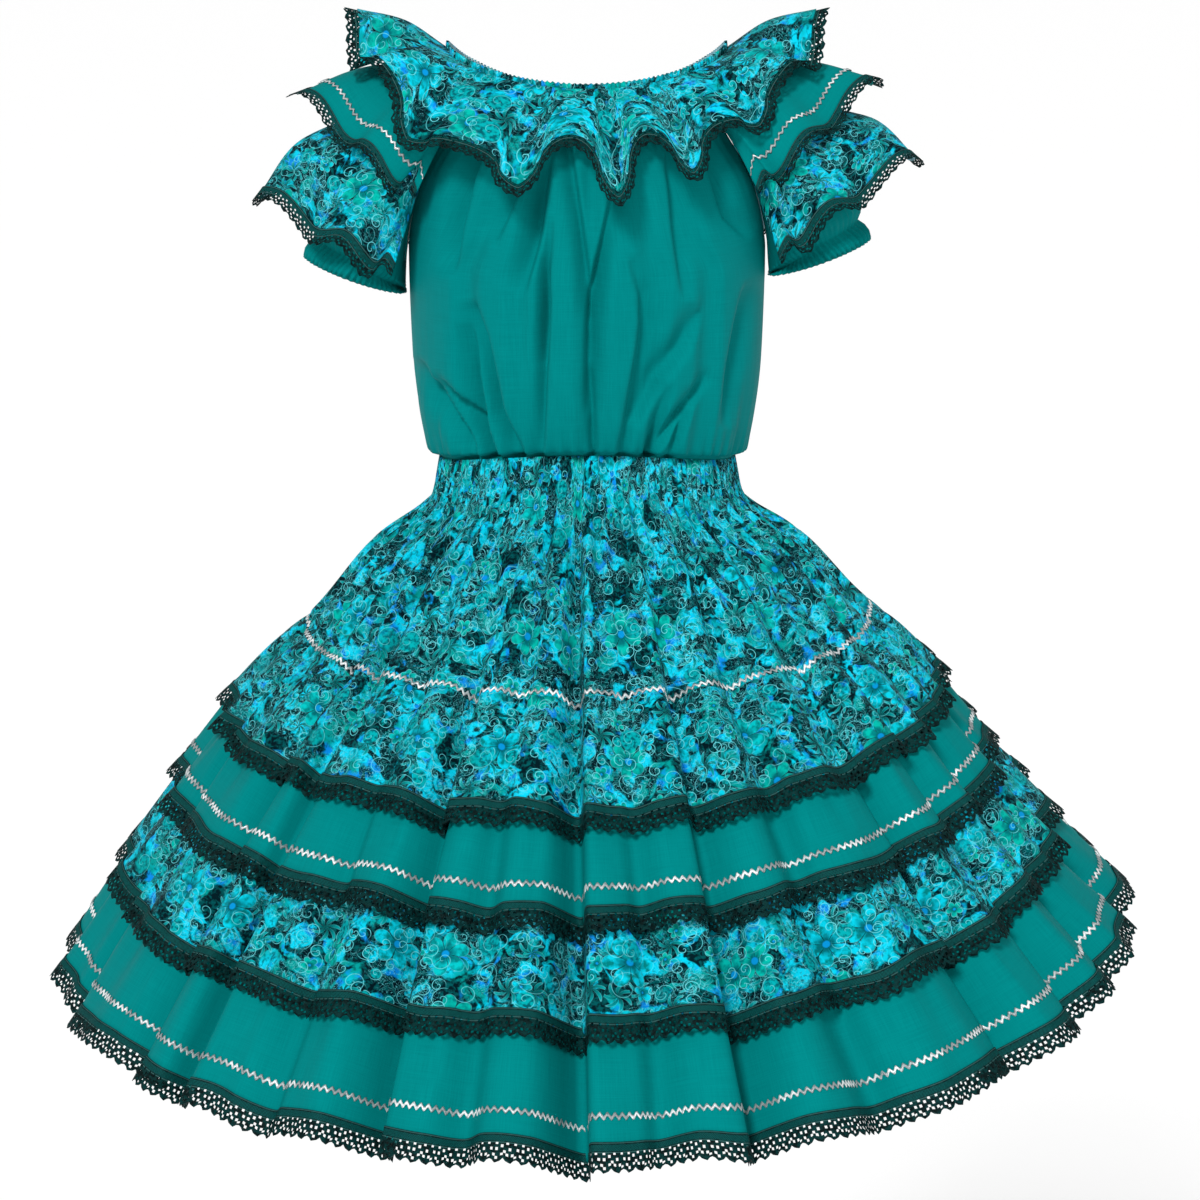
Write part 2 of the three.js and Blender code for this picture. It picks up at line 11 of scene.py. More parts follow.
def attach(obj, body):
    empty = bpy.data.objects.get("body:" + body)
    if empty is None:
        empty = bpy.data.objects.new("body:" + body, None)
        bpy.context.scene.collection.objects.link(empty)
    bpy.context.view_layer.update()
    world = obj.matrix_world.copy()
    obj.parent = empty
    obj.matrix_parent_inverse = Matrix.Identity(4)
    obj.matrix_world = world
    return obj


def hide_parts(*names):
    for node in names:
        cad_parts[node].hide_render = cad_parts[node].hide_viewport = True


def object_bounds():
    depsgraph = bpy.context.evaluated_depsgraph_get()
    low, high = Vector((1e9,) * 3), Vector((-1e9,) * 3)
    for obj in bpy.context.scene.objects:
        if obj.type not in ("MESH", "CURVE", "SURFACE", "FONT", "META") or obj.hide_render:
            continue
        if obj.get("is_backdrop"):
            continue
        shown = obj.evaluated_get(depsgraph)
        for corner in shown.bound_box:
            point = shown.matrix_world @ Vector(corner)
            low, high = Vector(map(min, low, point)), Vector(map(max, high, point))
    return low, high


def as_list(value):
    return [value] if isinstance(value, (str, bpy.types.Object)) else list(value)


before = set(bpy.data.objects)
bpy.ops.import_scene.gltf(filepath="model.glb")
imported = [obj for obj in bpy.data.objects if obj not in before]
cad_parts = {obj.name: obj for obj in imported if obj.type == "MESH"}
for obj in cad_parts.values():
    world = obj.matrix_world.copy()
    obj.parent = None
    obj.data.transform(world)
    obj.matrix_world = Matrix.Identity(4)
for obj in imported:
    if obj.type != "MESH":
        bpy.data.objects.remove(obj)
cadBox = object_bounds()
print("frame loaded")


def addObject(name, data):
    made = bpy.data.objects.new(name, data)
    bpy.context.scene.collection.objects.link(made)
    return made


# ---- camera ----
view = {"place": (0.011, -2.2, 0.127), "pitch": 15.4, "lens": 77.8, "sensor": 36}
cameraData = bpy.data.cameras.new("camera")
cameraData.lens = view["lens"]
cameraData.sensor_width = view["sensor"]
camera = addObject("camera", cameraData)
camera.location = view["place"]
camera.rotation_euler = (math.radians(90 - view["pitch"]), 0, 0)
bpy.context.scene.camera = camera


# ---- helpers for shapes ----
def ease(share):
    share = np.clip(share, 0, 1)
    return share * share * (3 - 2 * share)


def blendTo(a, b, share):
    return a + (b - a) * share


def softRead(at, keys, values):
    # A curve through the values at the keys that never swings past them.
    keys = np.asarray(keys, float)
    values = np.asarray(values, float)
    spans = np.diff(keys)
    rises = np.diff(values) / spans
    slopes = np.zeros(len(keys))
    both = rises[1:] * rises[:-1] > 0
    slopes[1:-1][both] = (2 * rises[1:] * rises[:-1])[both] / (rises[1:] + rises[:-1])[both]
    slopes[0], slopes[-1] = rises[0], rises[-1]
    k = np.clip(np.searchsorted(keys, at, side="right") - 1, 0, len(keys) - 2)
    s = np.clip((at - keys[k]) / spans[k], 0, 1)
    level = values[k] * (1 + 2 * s) * (1 - s) ** 2 + values[k + 1] * s * s * (3 - 2 * s)
    return level + spans[k] * s * (1 - s) * (slopes[k] * (1 - s) - slopes[k + 1] * s)


# What makes fine gathers uneven: size, waves in a turn, and the share of the seed in where they start.
gatherDrift = [(0.9, 3, 1.0), (0.7, 7, 2.3), (0.5, 13, 4.1)]


def gathers(turn, count, seed):
    # Unevenly spaced ripples round a full turn, between about -1 and 1.
    drift = sum(size * np.sin(waves * turn + part * seed) for size, waves, part in gatherDrift)
    strength = 0.75 + 0.25 * np.sin(5 * turn + 1.7 * seed) * np.sin(11 * turn + 3.1 * seed)
    return strength * np.cos(count * turn + drift)


def points(x, y, z):
    return np.stack(np.broadcast_arrays(x, y, z), axis=-1)


def unit(vectors):
    return vectors / np.maximum(np.linalg.norm(vectors, axis=-1, keepdims=True), 1e-9)


probe = 0.002  # half the way between two points that a slope is read from


def offSurface(surface, u, v, lift):
    # The surface moved out along its own normal. u runs round to the left of the front, v runs down.
    aside = surface(u + probe, v) - surface(u - probe, v)
    up = surface(u, v - probe) - surface(u, v + probe)
    return surface(u, v) + unit(np.cross(aside, up)) * np.asarray(lift)[..., None]


def runLengths(line):
    return np.concatenate([[0], np.cumsum(np.linalg.norm(np.diff(line, axis=0), axis=1))])


def gridSheet(name, across, down, place, flat, closed=False, chart=None):
    # A sheet of cloth: place(u, v) puts its points, flat is the cloth's size before it was sewn, and a dot in
    # the chart is a hole.
    bm = bmesh.new()
    bm.loops.layers.uv.new("flat")
    bmesh.ops.create_grid(bm, x_segments=across, y_segments=down, size=0.5, calc_uvs=True)
    if chart:
        holes = []
        for face in bm.faces:
            middle = face.calc_center_median()
            column = int((middle.x + 0.5) * across)
            row = int((0.5 - middle.y) * down)
            if chart[row][column % len(chart[row])] == ".":
                holes.append(face)
        bmesh.ops.delete(bm, geom=holes, context="FACES")
        rim = 0.4999
        inner = [vert for vert in bm.verts if max(abs(vert.co.x), abs(vert.co.y)) < rim]
        bmesh.ops.smooth_vert(bm, verts=inner, factor=0.5, use_axis_x=True, use_axis_y=True)
    grid = np.array([vert.co for vert in bm.verts])
    placed = place(grid[:, 0] + 0.5, 0.5 - grid[:, 1])
    for vert, spot in zip(bm.verts, placed):
        vert.co = spot
    if closed:
        bmesh.ops.remove_doubles(bm, verts=bm.verts, dist=1e-5)
    mesh = bpy.data.meshes.new(name)
    bm.to_mesh(mesh)
    bm.free()
    # The pattern takes as much of the cloth's width as each stretch of the piece needs, two thirds down.
    level = grid[np.argmin(np.abs(grid[:, 1] + 0.2)), 1]
    low = np.abs(grid[:, 1] - level) < 1e-6
    order = np.argsort(grid[low, 0])
    reached = runLengths(placed[low][order])
    layer = mesh.uv_layers["flat"]
    uvs = np.zeros(len(mesh.loops) * 2, np.float32)
    layer.data.foreach_get("uv", uvs)
    uvs = uvs.reshape(-1, 2)
    uvs[:, 0] = np.interp(uvs[:, 0], grid[low, 0][order] + 0.5, reached / reached[-1])
    uvs[:, 1] -= 1  # down from the top edge
    layer.data.foreach_set("uv", (uvs * np.float32(flat)).ravel())
    mesh.polygons.foreach_set("use_smooth", np.ones(len(mesh.polygons), bool))
    return mesh


def addPiece(name, node, mesh, finish, wall):
    piece = addObject(name, mesh)
    for material in finishes[finish]:
        mesh.materials.append(material)
    solid = piece.modifiers.new("wall", "SOLIDIFY")
    solid.thickness = wall
    solid.offset = -1
    solid.material_offset = len(finishes[finish]) - 1
    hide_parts(node)
    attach(piece, "root")
    return piece


# ---- helpers for materials ----
def addNode(kind, inputs, tree=None, **settings):
    # A node in the tree that its linked inputs come from, or in the one given.
    sockets = [value for value in inputs.values() if isinstance(value, bpy.types.NodeSocket)]
    tree = tree or sockets[0].id_data
    made = tree.nodes.new("ShaderNode" + kind)
    for key, value in settings.items():
        setattr(made, key, value)
    for key, value in inputs.items():
        if isinstance(value, bpy.types.NodeSocket):
            tree.links.new(value, made.inputs[key])
        else:
            made.inputs[key].default_value = value
    return made


def calc(operation, *values):
    return addNode("Math", dict(enumerate(values)), operation=operation).outputs[0]


def times(first, *others):
    for other in others:
        first = calc("MULTIPLY", first, other)
    return first


def mixTone(share, low, high):
    inputs = {0: share, 6: low, 7: high}
    return addNode("Mix", inputs, data_type="RGBA").outputs[2]


def newFinish(name, settings):
    material = bpy.data.materials.new(name)
    material.use_nodes = True
    tree = material.node_tree
    shader = tree.nodes["Principled BSDF"]
    for key, value in settings.items():
        shader.inputs[key].default_value = value
    return material, tree, shader


def addBump(tree, shader, height, distance):
    bump = addNode("Bump", {"Height": height, "Distance": distance, "Strength": 1.0})
    tree.links.new(bump.outputs[0], shader.inputs["Normal"])


def flatCoordinates(tree):
    return addNode("UVMap", {}, tree, uv_map="flat").outputs[0]


def softMask(value, sharpness):
    # 1 where value is above 0, with an edge as soft as the sharpness says.
    return addNode("Clamp", {0: times(value, sharpness)}).outputs[0]


def over(value, level, sharpness):
    return softMask(calc("SUBTRACT", value, level), sharpness)


def under(value, level, sharpness):
    return softMask(calc("SUBTRACT", level, value), sharpness)


def between(value, low, high):
    inputs = {"Value": value, "From Min": low, "From Max": high}
    return addNode("MapRange", inputs).outputs[0]


def mottle(flat, size, shift, detail=3.0, distortion=0.0):
    place = (shift, 0.6 * shift, 0)
    moved = addNode("Mapping", {"Vector": flat, "Location": place}).outputs[0]
    inputs = {"Vector": moved, "Scale": 1 / size, "Detail": detail, "Distortion": distortion}
    return addNode("TexNoise", inputs).outputs[0]


def spots(flat, field, mask):
    return over(mottle(flat, *field), *mask)


def stretchedNoise(tree, scale):
    inputs = {"Vector": flatCoordinates(tree), "Scale": scale}
    stretched = addNode("Mapping", inputs).outputs[0]
    return addNode("TexNoise", {"Vector": stretched, "Scale": 1.0, "Detail": 2.0}).outputs[0]


# ---- plain cotton ----
cottonWeave = {"thread": 0.0009, "slub": 0.030, "relief": 0.00006, "tones": (0.35, 0.65)}
plainCotton = {
    "base": (0.0005, 0.196, 0.194, 1),
    "dark": (0.0003, 0.164, 0.164, 1),
    "roughness": 0.62,
    "sheen": 0.03,
    "gloss": 0.05,
    "glossTint": (0.02, 0.90, 0.86, 1),
}


def cottonSettings(look):
    return {"Roughness": look["roughness"], "Sheen Weight": look["sheen"], "Sheen Tint": look["glossTint"],
            "Specular IOR Level": look["gloss"], "Specular Tint": look["glossTint"]}


def addWeave(tree, shader):
    # Long thin slubs both ways of the cloth, as relief and as a value from 0 to 1.
    fine = 1 / cottonWeave["thread"]
    long = 1 / cottonWeave["slub"]
    slubs = [stretchedNoise(tree, scale) for scale in ((long, fine, 1), (fine, long, 1))]
    threads = times(calc("ADD", *slubs), 0.5)
    addBump(tree, shader, threads, cottonWeave["relief"])
    return threads


def makePlainCotton():
    look = plainCotton
    material, tree, shader = newFinish("plainCotton", cottonSettings(look))
    share = between(addWeave(tree, shader), *cottonWeave["tones"])
    tree.links.new(mixTone(share, look["dark"], look["base"]), shader.inputs["Base Color"])
    return material


# ---- printed cotton ----
# A field is its size, a shift that tells it from the others, and its detail and distortion where they aren't
# the usual ones. A mask is its level and how sharp its edge is. Spots are a field and a mask.
printCotton = {
    "ground": (0.001, 0.006, 0.010, 1),
    "moss": (0.001, 0.070, 0.075, 1),
    "teal": (0.001, 0.250, 0.235, 1),
    "turquoise": (0.002, 0.520, 0.700, 1),
    "blue": (0.003, 0.210, 0.640, 1),
    "line": (0.130, 0.600, 0.660, 1),
    "motes": (0.0034, 0.2, 4.0, 0.6),
    "mossMask": (0.46, 7.0),
    "shadeMask": (0.50, 7.0),
    "shadeShare": 0.7,
    "hues": ((0.026, 1.4), (0.40, 7.0)),
    "blues": ((0.016, 2.6), (0.54, 10.0)),
    "patches": ((0.020, 3.8, 7.0, 1.2), (0.49, 14.0)),
    "reverse": (0.300, 0.480, 0.530, 1),
    "reverseShade": (0.160, 0.330, 0.390, 1),
    "reverseSpots": ((0.011, 0.0, 4.0), (0.42, 5.0)),
    "roughness": 0.6,
    "sheen": 0.02,
    "gloss": 0.06,
    "glossTint": (0.05, 0.85, 0.90, 1),
}
# Each kind: spacing, shift, petals, size as a share of the spacing, and the share of the cells that have one.
flowers = {
    "kinds": [(0.025, 0.53, 5, 0.62, 0.26), (0.054, 0.83, 6, 0.74, 0.50)],
    "teal": (0.001, 0.400, 0.330, 1),
    "turquoise": (0.002, 0.500, 0.640, 1),
    "shade": (0.001, 0.170, 0.170, 1),
    "base": (0.001, 0.090, 0.110, 1),
    "centre": (0.002, 0.230, 0.540, 1),
    "roundness": 0.55,
    "petal": 0.62,
    "notch": 0.36,
    "growth": (0.4, 0.72),
    "tealMask": (0.45, 5.0),
    "grainSize": 0.00544,
    "shadeMask": (0.58, 5.0),
    "baseMask": (0.20, 2.2),
    "notchMask": (0.22, 9.0),
    "notchShare": 0.85,
    "edge": 40.0,
    "cellEdge": 50.0,
    "rim": 0.0007,
    "rimEdge": 60.0,
    "rimShare": 0.6,
    "heart": 0.17,
    "heartEdge": 25.0,
}
leaves = {
    "spacing": 0.026,
    "shift": 0.37,
    "leaf": (0.002, 0.300, 0.310, 1),
    "base": (0.001, 0.080, 0.080, 1),
    "curl": 0.9,
    "lobes": 7,
    "reach": (1.5, -0.62),
    "baseMask": (0.2, 1.6),
    "cellMask": (0.35, 50.0),
    "edge": 14.0,
    "rimMask": (0.06, 25.0),
    "rimShare": 0.5,
}
# Each kind of spiral: spacing and shift.
scrolls = {
    "kinds": [(0.015, 0.11), (0.023, 0.42), (0.033, 0.73)],
    "winding": 1.7,
    "line": 0.0011,
    "lineEdge": 22.0,
    "nearMask": (0.85, 8.0),
    "cellMask": (0.45, 30.0),
    "disc": (0.001, 0.330, 0.350, 1),
    "discBase": (0.001, 0.090, 0.110, 1),
    "discMask": (0.62, 9.0),
    "filledMask": (0.74, 6.0),
    "grainMask": (0.56, 6.0),
}
filigree = {"field": (0.0068, 5.1, 1.0, 2.2), "line": 0.022, "lineEdge": 55.0, "share": 0.7,
            "patches": ((0.030, 6.3), (0.44, 9.0))}


def motifPolar(flat, spacing, shift):
    # Cells of about one motif each: the angle and the radius from the cell's middle, and two random values.
    place = (shift, 1.7 * shift, 0)
    moved = addNode("Mapping", {"Vector": flat, "Location": place}).outputs[0]
    inputs = {"Vector": moved, "Scale": 1 / spacing, "Randomness": 0.8}
    cells = addNode("TexVoronoi", inputs, voronoi_dimensions="2D", feature="F1").outputs
    inputs = {0: moved, 1: cells["Position"]}
    away = addNode("VectorMath", inputs, operation="SUBTRACT").outputs[0]
    parts = addNode("SeparateXYZ", {0: away}).outputs
    chances = addNode("SeparateColor", {0: cells["Color"]}).outputs
    angle = calc("ARCTAN2", parts["Y"], parts["X"])
    angle = calc("MULTIPLY_ADD", chances[0], 6.3, angle)  # each motif turned its own way
    length = addNode("VectorMath", {0: away}, operation="LENGTH").outputs["Value"]
    return angle, calc("DIVIDE", length, spacing / 2), chances[1], chances[2]


def petalLobes(angle, petals):
    return calc("ABSOLUTE", calc("COSINE", times(angle, petals / 2)))


def addWash(flat):
    # Ragged patches of turquoise, teal and blue on a near black ground.
    look = printCotton
    motes = mottle(flat, *look["motes"])
    tone = mixTone(over(motes, *look["mossMask"]), look["ground"], look["moss"])
    wash = mixTone(spots(flat, *look["hues"]), look["teal"], look["turquoise"])
    wash = mixTone(spots(flat, *look["blues"]), wash, look["blue"])
    shade = times(under(motes, *look["shadeMask"]), look["shadeShare"])
    wash = mixTone(shade, wash, look["moss"])
    return mixTone(spots(flat, *look["patches"]), tone, wash)


def addFlowers(flat, cloth, spacing, shift, petals, size, share):
    look = flowers
    angle, radius, fate, tint = motifPolar(flat, spacing, shift)
    lobes = petalLobes(angle, petals)
    edge = calc("POWER", lobes, look["roundness"])
    edge = calc("MULTIPLY_ADD", edge, look["petal"] * size, look["notch"] * size)
    edge = times(edge, calc("MULTIPLY_ADD", tint, *look["growth"]))
    shown = under(fate, share, look["cellEdge"])
    inside = calc("SUBTRACT", edge, radius)
    petal = mixTone(over(tint, *look["tealMask"]), look["teal"], look["turquoise"])
    grain = mottle(flat, look["grainSize"], shift, 4.0)
    petal = mixTone(under(grain, *look["shadeMask"]), petal, look["shade"])
    depth = calc("DIVIDE", radius, edge)
    petal = mixTone(over(depth, *look["baseMask"]), look["base"], petal)
    notch = times(under(lobes, *look["notchMask"]), look["notchShare"])
    petal = mixTone(notch, petal, printCotton["ground"])
    whole = times(softMask(inside, look["edge"]), shown)
    tone = mixTone(whole, cloth, petal)
    rim = under(calc("ABSOLUTE", inside), look["rim"] / spacing, look["rimEdge"])
    rim = times(rim, shown, look["rimShare"])
    tone = mixTone(rim, tone, printCotton["line"])
    heart = under(radius, look["heart"] * size, look["heartEdge"])
    return mixTone(times(heart, shown), tone, look["centre"])


def addLeaves(flat, cloth):
    look = leaves
    angle, radius, fate = motifPolar(flat, look["spacing"], look["shift"])[:3]
    curled = calc("MULTIPLY_ADD", radius, look["curl"], angle)
    edge = calc("MULTIPLY_ADD", petalLobes(curled, look["lobes"]), *look["reach"])
    inside = calc("SUBTRACT", edge, radius)
    leaf = mixTone(over(radius, *look["baseMask"]), look["base"], look["leaf"])
    shown = over(fate, *look["cellMask"])
    whole = times(softMask(inside, look["edge"]), shown)
    tone = mixTone(whole, cloth, leaf)
    rim = under(calc("ABSOLUTE", inside), *look["rimMask"])
    rim = times(rim, shown, look["rimShare"])
    return mixTone(rim, tone, printCotton["line"])


def addScrolls(flat, cloth, spacing, shift):
    # Spirals of one fine pale line, some of them on a filled disc.
    look = scrolls
    angle, radius, fate, tint = motifPolar(flat, spacing, shift)
    winding = calc("MULTIPLY_ADD", radius, look["winding"], calc("DIVIDE", angle, 2 * math.pi))
    across = calc("ABSOLUTE", calc("SUBTRACT", calc("FRACT", winding), 0.5))
    line = under(across, look["line"] / spacing, look["lineEdge"])
    near = under(radius, *look["nearMask"])
    shown = over(fate, *look["cellMask"])
    disc = times(under(radius, *look["discMask"]), shown, over(tint, *look["filledMask"]))
    grain = mottle(flat, printCotton["motes"][0], shift, 4.0)
    worn = mixTone(under(grain, *look["grainMask"]), look["disc"], look["discBase"])
    filled = mixTone(disc, cloth, worn)
    share = times(line, near, shown)
    return mixTone(share, filled, printCotton["line"])


def addFiligree(flat, cloth):
    # Curling hair lines in patches.
    look = filigree
    field = calc("SUBTRACT", mottle(flat, *look["field"]), 0.5)
    line = under(calc("ABSOLUTE", field), look["line"], look["lineEdge"])
    share = times(line, spots(flat, *look["patches"]), look["share"])
    return mixTone(share, cloth, printCotton["line"])


def makePrintCotton():
    look = printCotton
    material, tree, shader = newFinish("printCotton", cottonSettings(look))
    flat = flatCoordinates(tree)
    tone = addFiligree(flat, addLeaves(flat, addWash(flat)))
    for kind in flowers["kinds"]:
        tone = addFlowers(flat, tone, *kind)
    for kind in scrolls["kinds"]:
        tone = addScrolls(flat, tone, *kind)
    tree.links.new(tone, shader.inputs["Base Color"])
    addWeave(tree, shader)
    reverse, tree, shader = newFinish("printCottonReverse", cottonSettings(look))
    share = spots(flatCoordinates(tree), *look["reverseSpots"])
    tree.links.new(mixTone(share, look["reverse"], look["reverseShade"]), shader.inputs["Base Color"])
    addWeave(tree, shader)
    return material, reverse


# ---- lace and rickrack finishes ----
laceFinish = {
    "tones": ((0.0004, 0.0020, 0.0022, 1), (0.0015, 0.0130, 0.0130, 1)),
    "settings": {"Roughness": 0.7, "Specular IOR Level": 0.06},
    "twist": 0.0012,
    "relief": 0.0002,
    "net": (0.0010, 0.0560, 0.0550, 1),
    "netCell": 0.0013,
    "netEdge": 3.0,
    "worked": (0.0052, 1.7),
    "workedMask": (0.56, 9.0),
    "header": (0.0010, 0.1150, 0.1100, 1),
    "headerMiddle": 0.0043,
    "headerMask": (0.0027, 1500.0),
    "line": (0.040, 0.120, 0.115, 1),
    "lines": (0.0008, 0.0076),
    "lineMask": (0.0005, 2000.0),
}
braidFinish = {
    "tones": ((0.42, 0.46, 0.47, 1), (0.90, 0.92, 0.92, 1)),
    "settings": {"Roughness": 0.35, "Metallic": 0.15, "Specular IOR Level": 0.6},
    "twist": 0.0014,
    "relief": 0.0003,
    # Painted shade: grey patches laid on the braid at random, standing in for stretches in shadow or
    # reflecting dark.
    "paintedShade": (0.080, 0.120, 0.125, 1),
    "paintedShadeSpots": ((0.028, 0.0), (0.46, 16.0)),
    "paintedShadeLeast": 0.7,
    "paintedShadeShare": 0.9,
}
threadTones = (0.38, 0.6)


def netAndLines(tree, tone, look):
    # The fine net that the lace is worked on, paler in its header, and two woven lines along that.
    flat = flatCoordinates(tree)
    place = addNode("SeparateXYZ", {0: flat}).outputs
    pace = 2 * math.pi / look["netCell"]
    waves = [calc("SINE", times(place[axis], pace)) for axis in "XY"]
    cells = softMask(times(*waves), look["netEdge"])
    bare = under(mottle(flat, *look["worked"]), *look["workedMask"])

    def fromRow(depth):
        return calc("ABSOLUTE", calc("ADD", place["Y"], depth))

    header = under(fromRow(look["headerMiddle"]), *look["headerMask"])
    net = mixTone(header, look["net"], look["header"])
    tone = mixTone(times(calc("MAXIMUM", bare, header), cells), tone, net)
    for depth in look["lines"]:
        tone = mixTone(under(fromRow(depth), *look["lineMask"]), tone, look["line"])
    return tone


def makeThreadFinish(name, look):
    # Twisted thread: fine dashes of two tones.
    material, tree, shader = newFinish(name, look["settings"])
    noise = stretchedNoise(tree, (1 / look["twist"], 0.6 / look["twist"], 1))
    share = between(noise, *threadTones)
    tone = mixTone(share, *look["tones"])
    if "lines" in look:
        tone = netAndLines(tree, tone, look)
    # Painted shade on the braid: grey patches laid at random where it would look dull in shadow.
    if "paintedShade" in look:
        patches = spots(flatCoordinates(tree), *look["paintedShadeSpots"])
        share = times(patches, calc("MAXIMUM", share, look["paintedShadeLeast"]))
        tone = mixTone(times(share, look["paintedShadeShare"]), tone, look["paintedShade"])
    tree.links.new(tone, shader.inputs["Base Color"])
    addBump(tree, shader, noise, look["relief"])
    return material


finishes = {
    "plain_cotton": [makePlainCotton()],
    "print_cotton": makePrintCotton(),
    "black_lace": [makeThreadFinish("blackLace", laceFinish)],
    "silver_rickrack": [makeThreadFinish("silverRickrack", braidFinish)],
}
print("finishes made")

# ---- lace ----
# Two scallops of the lace, top row first: a dot is a gap.
lace = {
    "scallop": 0.0102,
    "point": 0.17,
    "picot": 0.03,
    "wall": 0.0004,
    "scallopsInChart": 2,
    "chart": [
        "##########",
        "##########",
        "##########",
        "#.##.##.##",
        "#########.",
        "##.##.#.##",
        ".#########",
        "#.#.##.##.",
        "####.##.##",
        "##########",
    ],
}


def evenRun(place):
    # u as a share of the length along the middle of a strip, and that length.
    u = np.linspace(0, 1, 4001)
    reached = runLengths(place(u, 0.5 + 0 * u))
    return lambda share: np.interp(share, reached / reached[-1], u), reached[-1]


def addLace(name, node, width, place, closed):
    # place(u, v) runs from the stitched edge at v 0 to the points at v 1.
    even, length = evenRun(place)
    charts = round(length / lace["scallop"] / lace["scallopsInChart"])
    units = charts * lace["scallopsInChart"]
    columns = charts * len(lace["chart"][0])

    def scalloped(u, v):
        phase = (u * units) % 1
        tooth = 1 - np.abs(2 * phase - 1)
        picot = lace["picot"] * (np.round(u * columns) % 2) * (v > 0.999)
        return place(even(u), v * (1 - lace["point"] * (1 - tooth) * v ** 3) + picot)

    flat = (units * lace["scallop"], width)
    mesh = gridSheet(name, columns, len(lace["chart"]), scalloped, flat, closed, lace["chart"])
    return addPiece(name, node, mesh, "black_lace", lace["wall"])


# ---- rickrack ----
rickrack = {
    "wave": 0.0060,
    "swing": 0.0017,
    "strand": 0.0031,
    "crown": 0.0005,
    "wall": 0.0008,
    "columns": 5,
}


def addRickrack(name, node, place, closed):
    # place(u, aside, lift): aside is down the cloth from the braid's middle line.
    even, length = evenRun(lambda u, v: place(u, 0 * u, 0))
    waves = round(length / rickrack["wave"])

    def strand(u, v):
        aside = rickrack["swing"] * np.sin(2 * math.pi * waves * u) + (v - 0.5) * rickrack["strand"]
        return place(even(u), aside, rickrack["crown"] * (1 - (2 * v - 1) ** 2))

    flat = (length, rickrack["strand"])
    mesh = gridSheet(name, waves * rickrack["columns"], 2, strand, flat, closed)
    return addPiece(name, node, mesh, "silver_rickrack", rickrack["wall"])


# ---- skirt ----
# Slant is the cloth's length from the waist seam, drop is down from it, and hollow is how far the +X side
# falls in.
skirt = {
    "waistZ": -0.347,
    "waistRise": 0.018,
    "riseSlants": (0.032, 0.200),
    "hemSlant": 0.560,
    "foldStart": 0.030,
    "frontDrop": 0.011,
    "dropSlants": (0.200, 0.299),
    "hemLean": 0.007,
    "hemTilt": 0.055,
    "wall": 0.0006,
    "profile": {
        "slant": [0, 0.032, 0.11, 0.2, 0.216, 0.299, 0.38, 0.464, 0.56, 0.6],
        "halfWidth": [0.129, 0.133, 0.19, 0.248, 0.261, 0.314, 0.359, 0.407, 0.458, 0.477],
        "halfDepth": [0.095, 0.101, 0.164, 0.234, 0.246, 0.298, 0.341, 0.387, 0.432, 0.45],
        "drop": [0, 0.031, 0.084, 0.148, 0.155, 0.213, 0.279, 0.349, 0.431, 0.465],
        "hollow": [0, 0, 0, 0, 0.002, 0.012, 0.016, 0.014, 0.002, 0],
    },
    # Valleys between the broad folds, by azimuth from the front middle towards +X: depth at the hem, half
    # width in degrees, and how far the valley leans over to +X as a share of its depth.
    "valleys": [
        (-85, 0.014, 3.8, 0.2), (-71, 0.020, 3.4, 0.2), (-54, 0.032, 3.2, 0.3), (-45, 0.026, 2.8, -0.2),
        (-34, 0.013, 3.2, 0.3), (-23, 0.034, 3.2, 0.3), (-13, 0.012, 3.0, 0.2), (-3, 0.040, 3.0, 0.25),
        (7, 0.011, 2.8, -0.2), (17, 0.026, 3.2, -0.3), (28, 0.014, 3.4, 0.2), (47, 0.034, 3.4, -0.3),
        (58, 0.013, 3.2, -0.2), (69, 0.029, 3.4, -0.3), (82, 0.014, 3.8, 0.2), (98, 0.024, 4.0, 0.2),
        (115, 0.030, 4.2, -0.3), (135, 0.017, 4.6, 0.2), (152, 0.032, 4.2, 0.3), (171, 0.020, 4.6, -0.2),
        (190, 0.034, 4.2, 0.3), (211, 0.018, 4.6, 0.2), (229, 0.030, 4.2, -0.3), (252, 0.021, 4.6, 0.2),
    ],
    "crown": 0.009,
    "valleyDepth": 1.15,
    "valleyLean": 1.35,
    "valleyHang": 0.16,
    "broadRipples": (31, 0.0052),
    "slopeReach": 0.012,
    "tiltPower": 0.7,
}


def frontShare(turn):
    return np.maximum(np.cos(turn), 0) ** 2


def betweenAzimuths(turn, azimuths):
    # Which of the azimuths each turn comes after, and its share of the way to the next.
    starts = np.append(azimuths, azimuths[0] + 360.0)
    folded = (np.degrees(turn) - starts[0]) % 360 + starts[0]
    k = np.clip(np.searchsorted(starts, folded, side="right") - 1, 0, len(starts) - 2)
    return k, (folded - starts[k]) / (starts[k + 1] - starts[k])


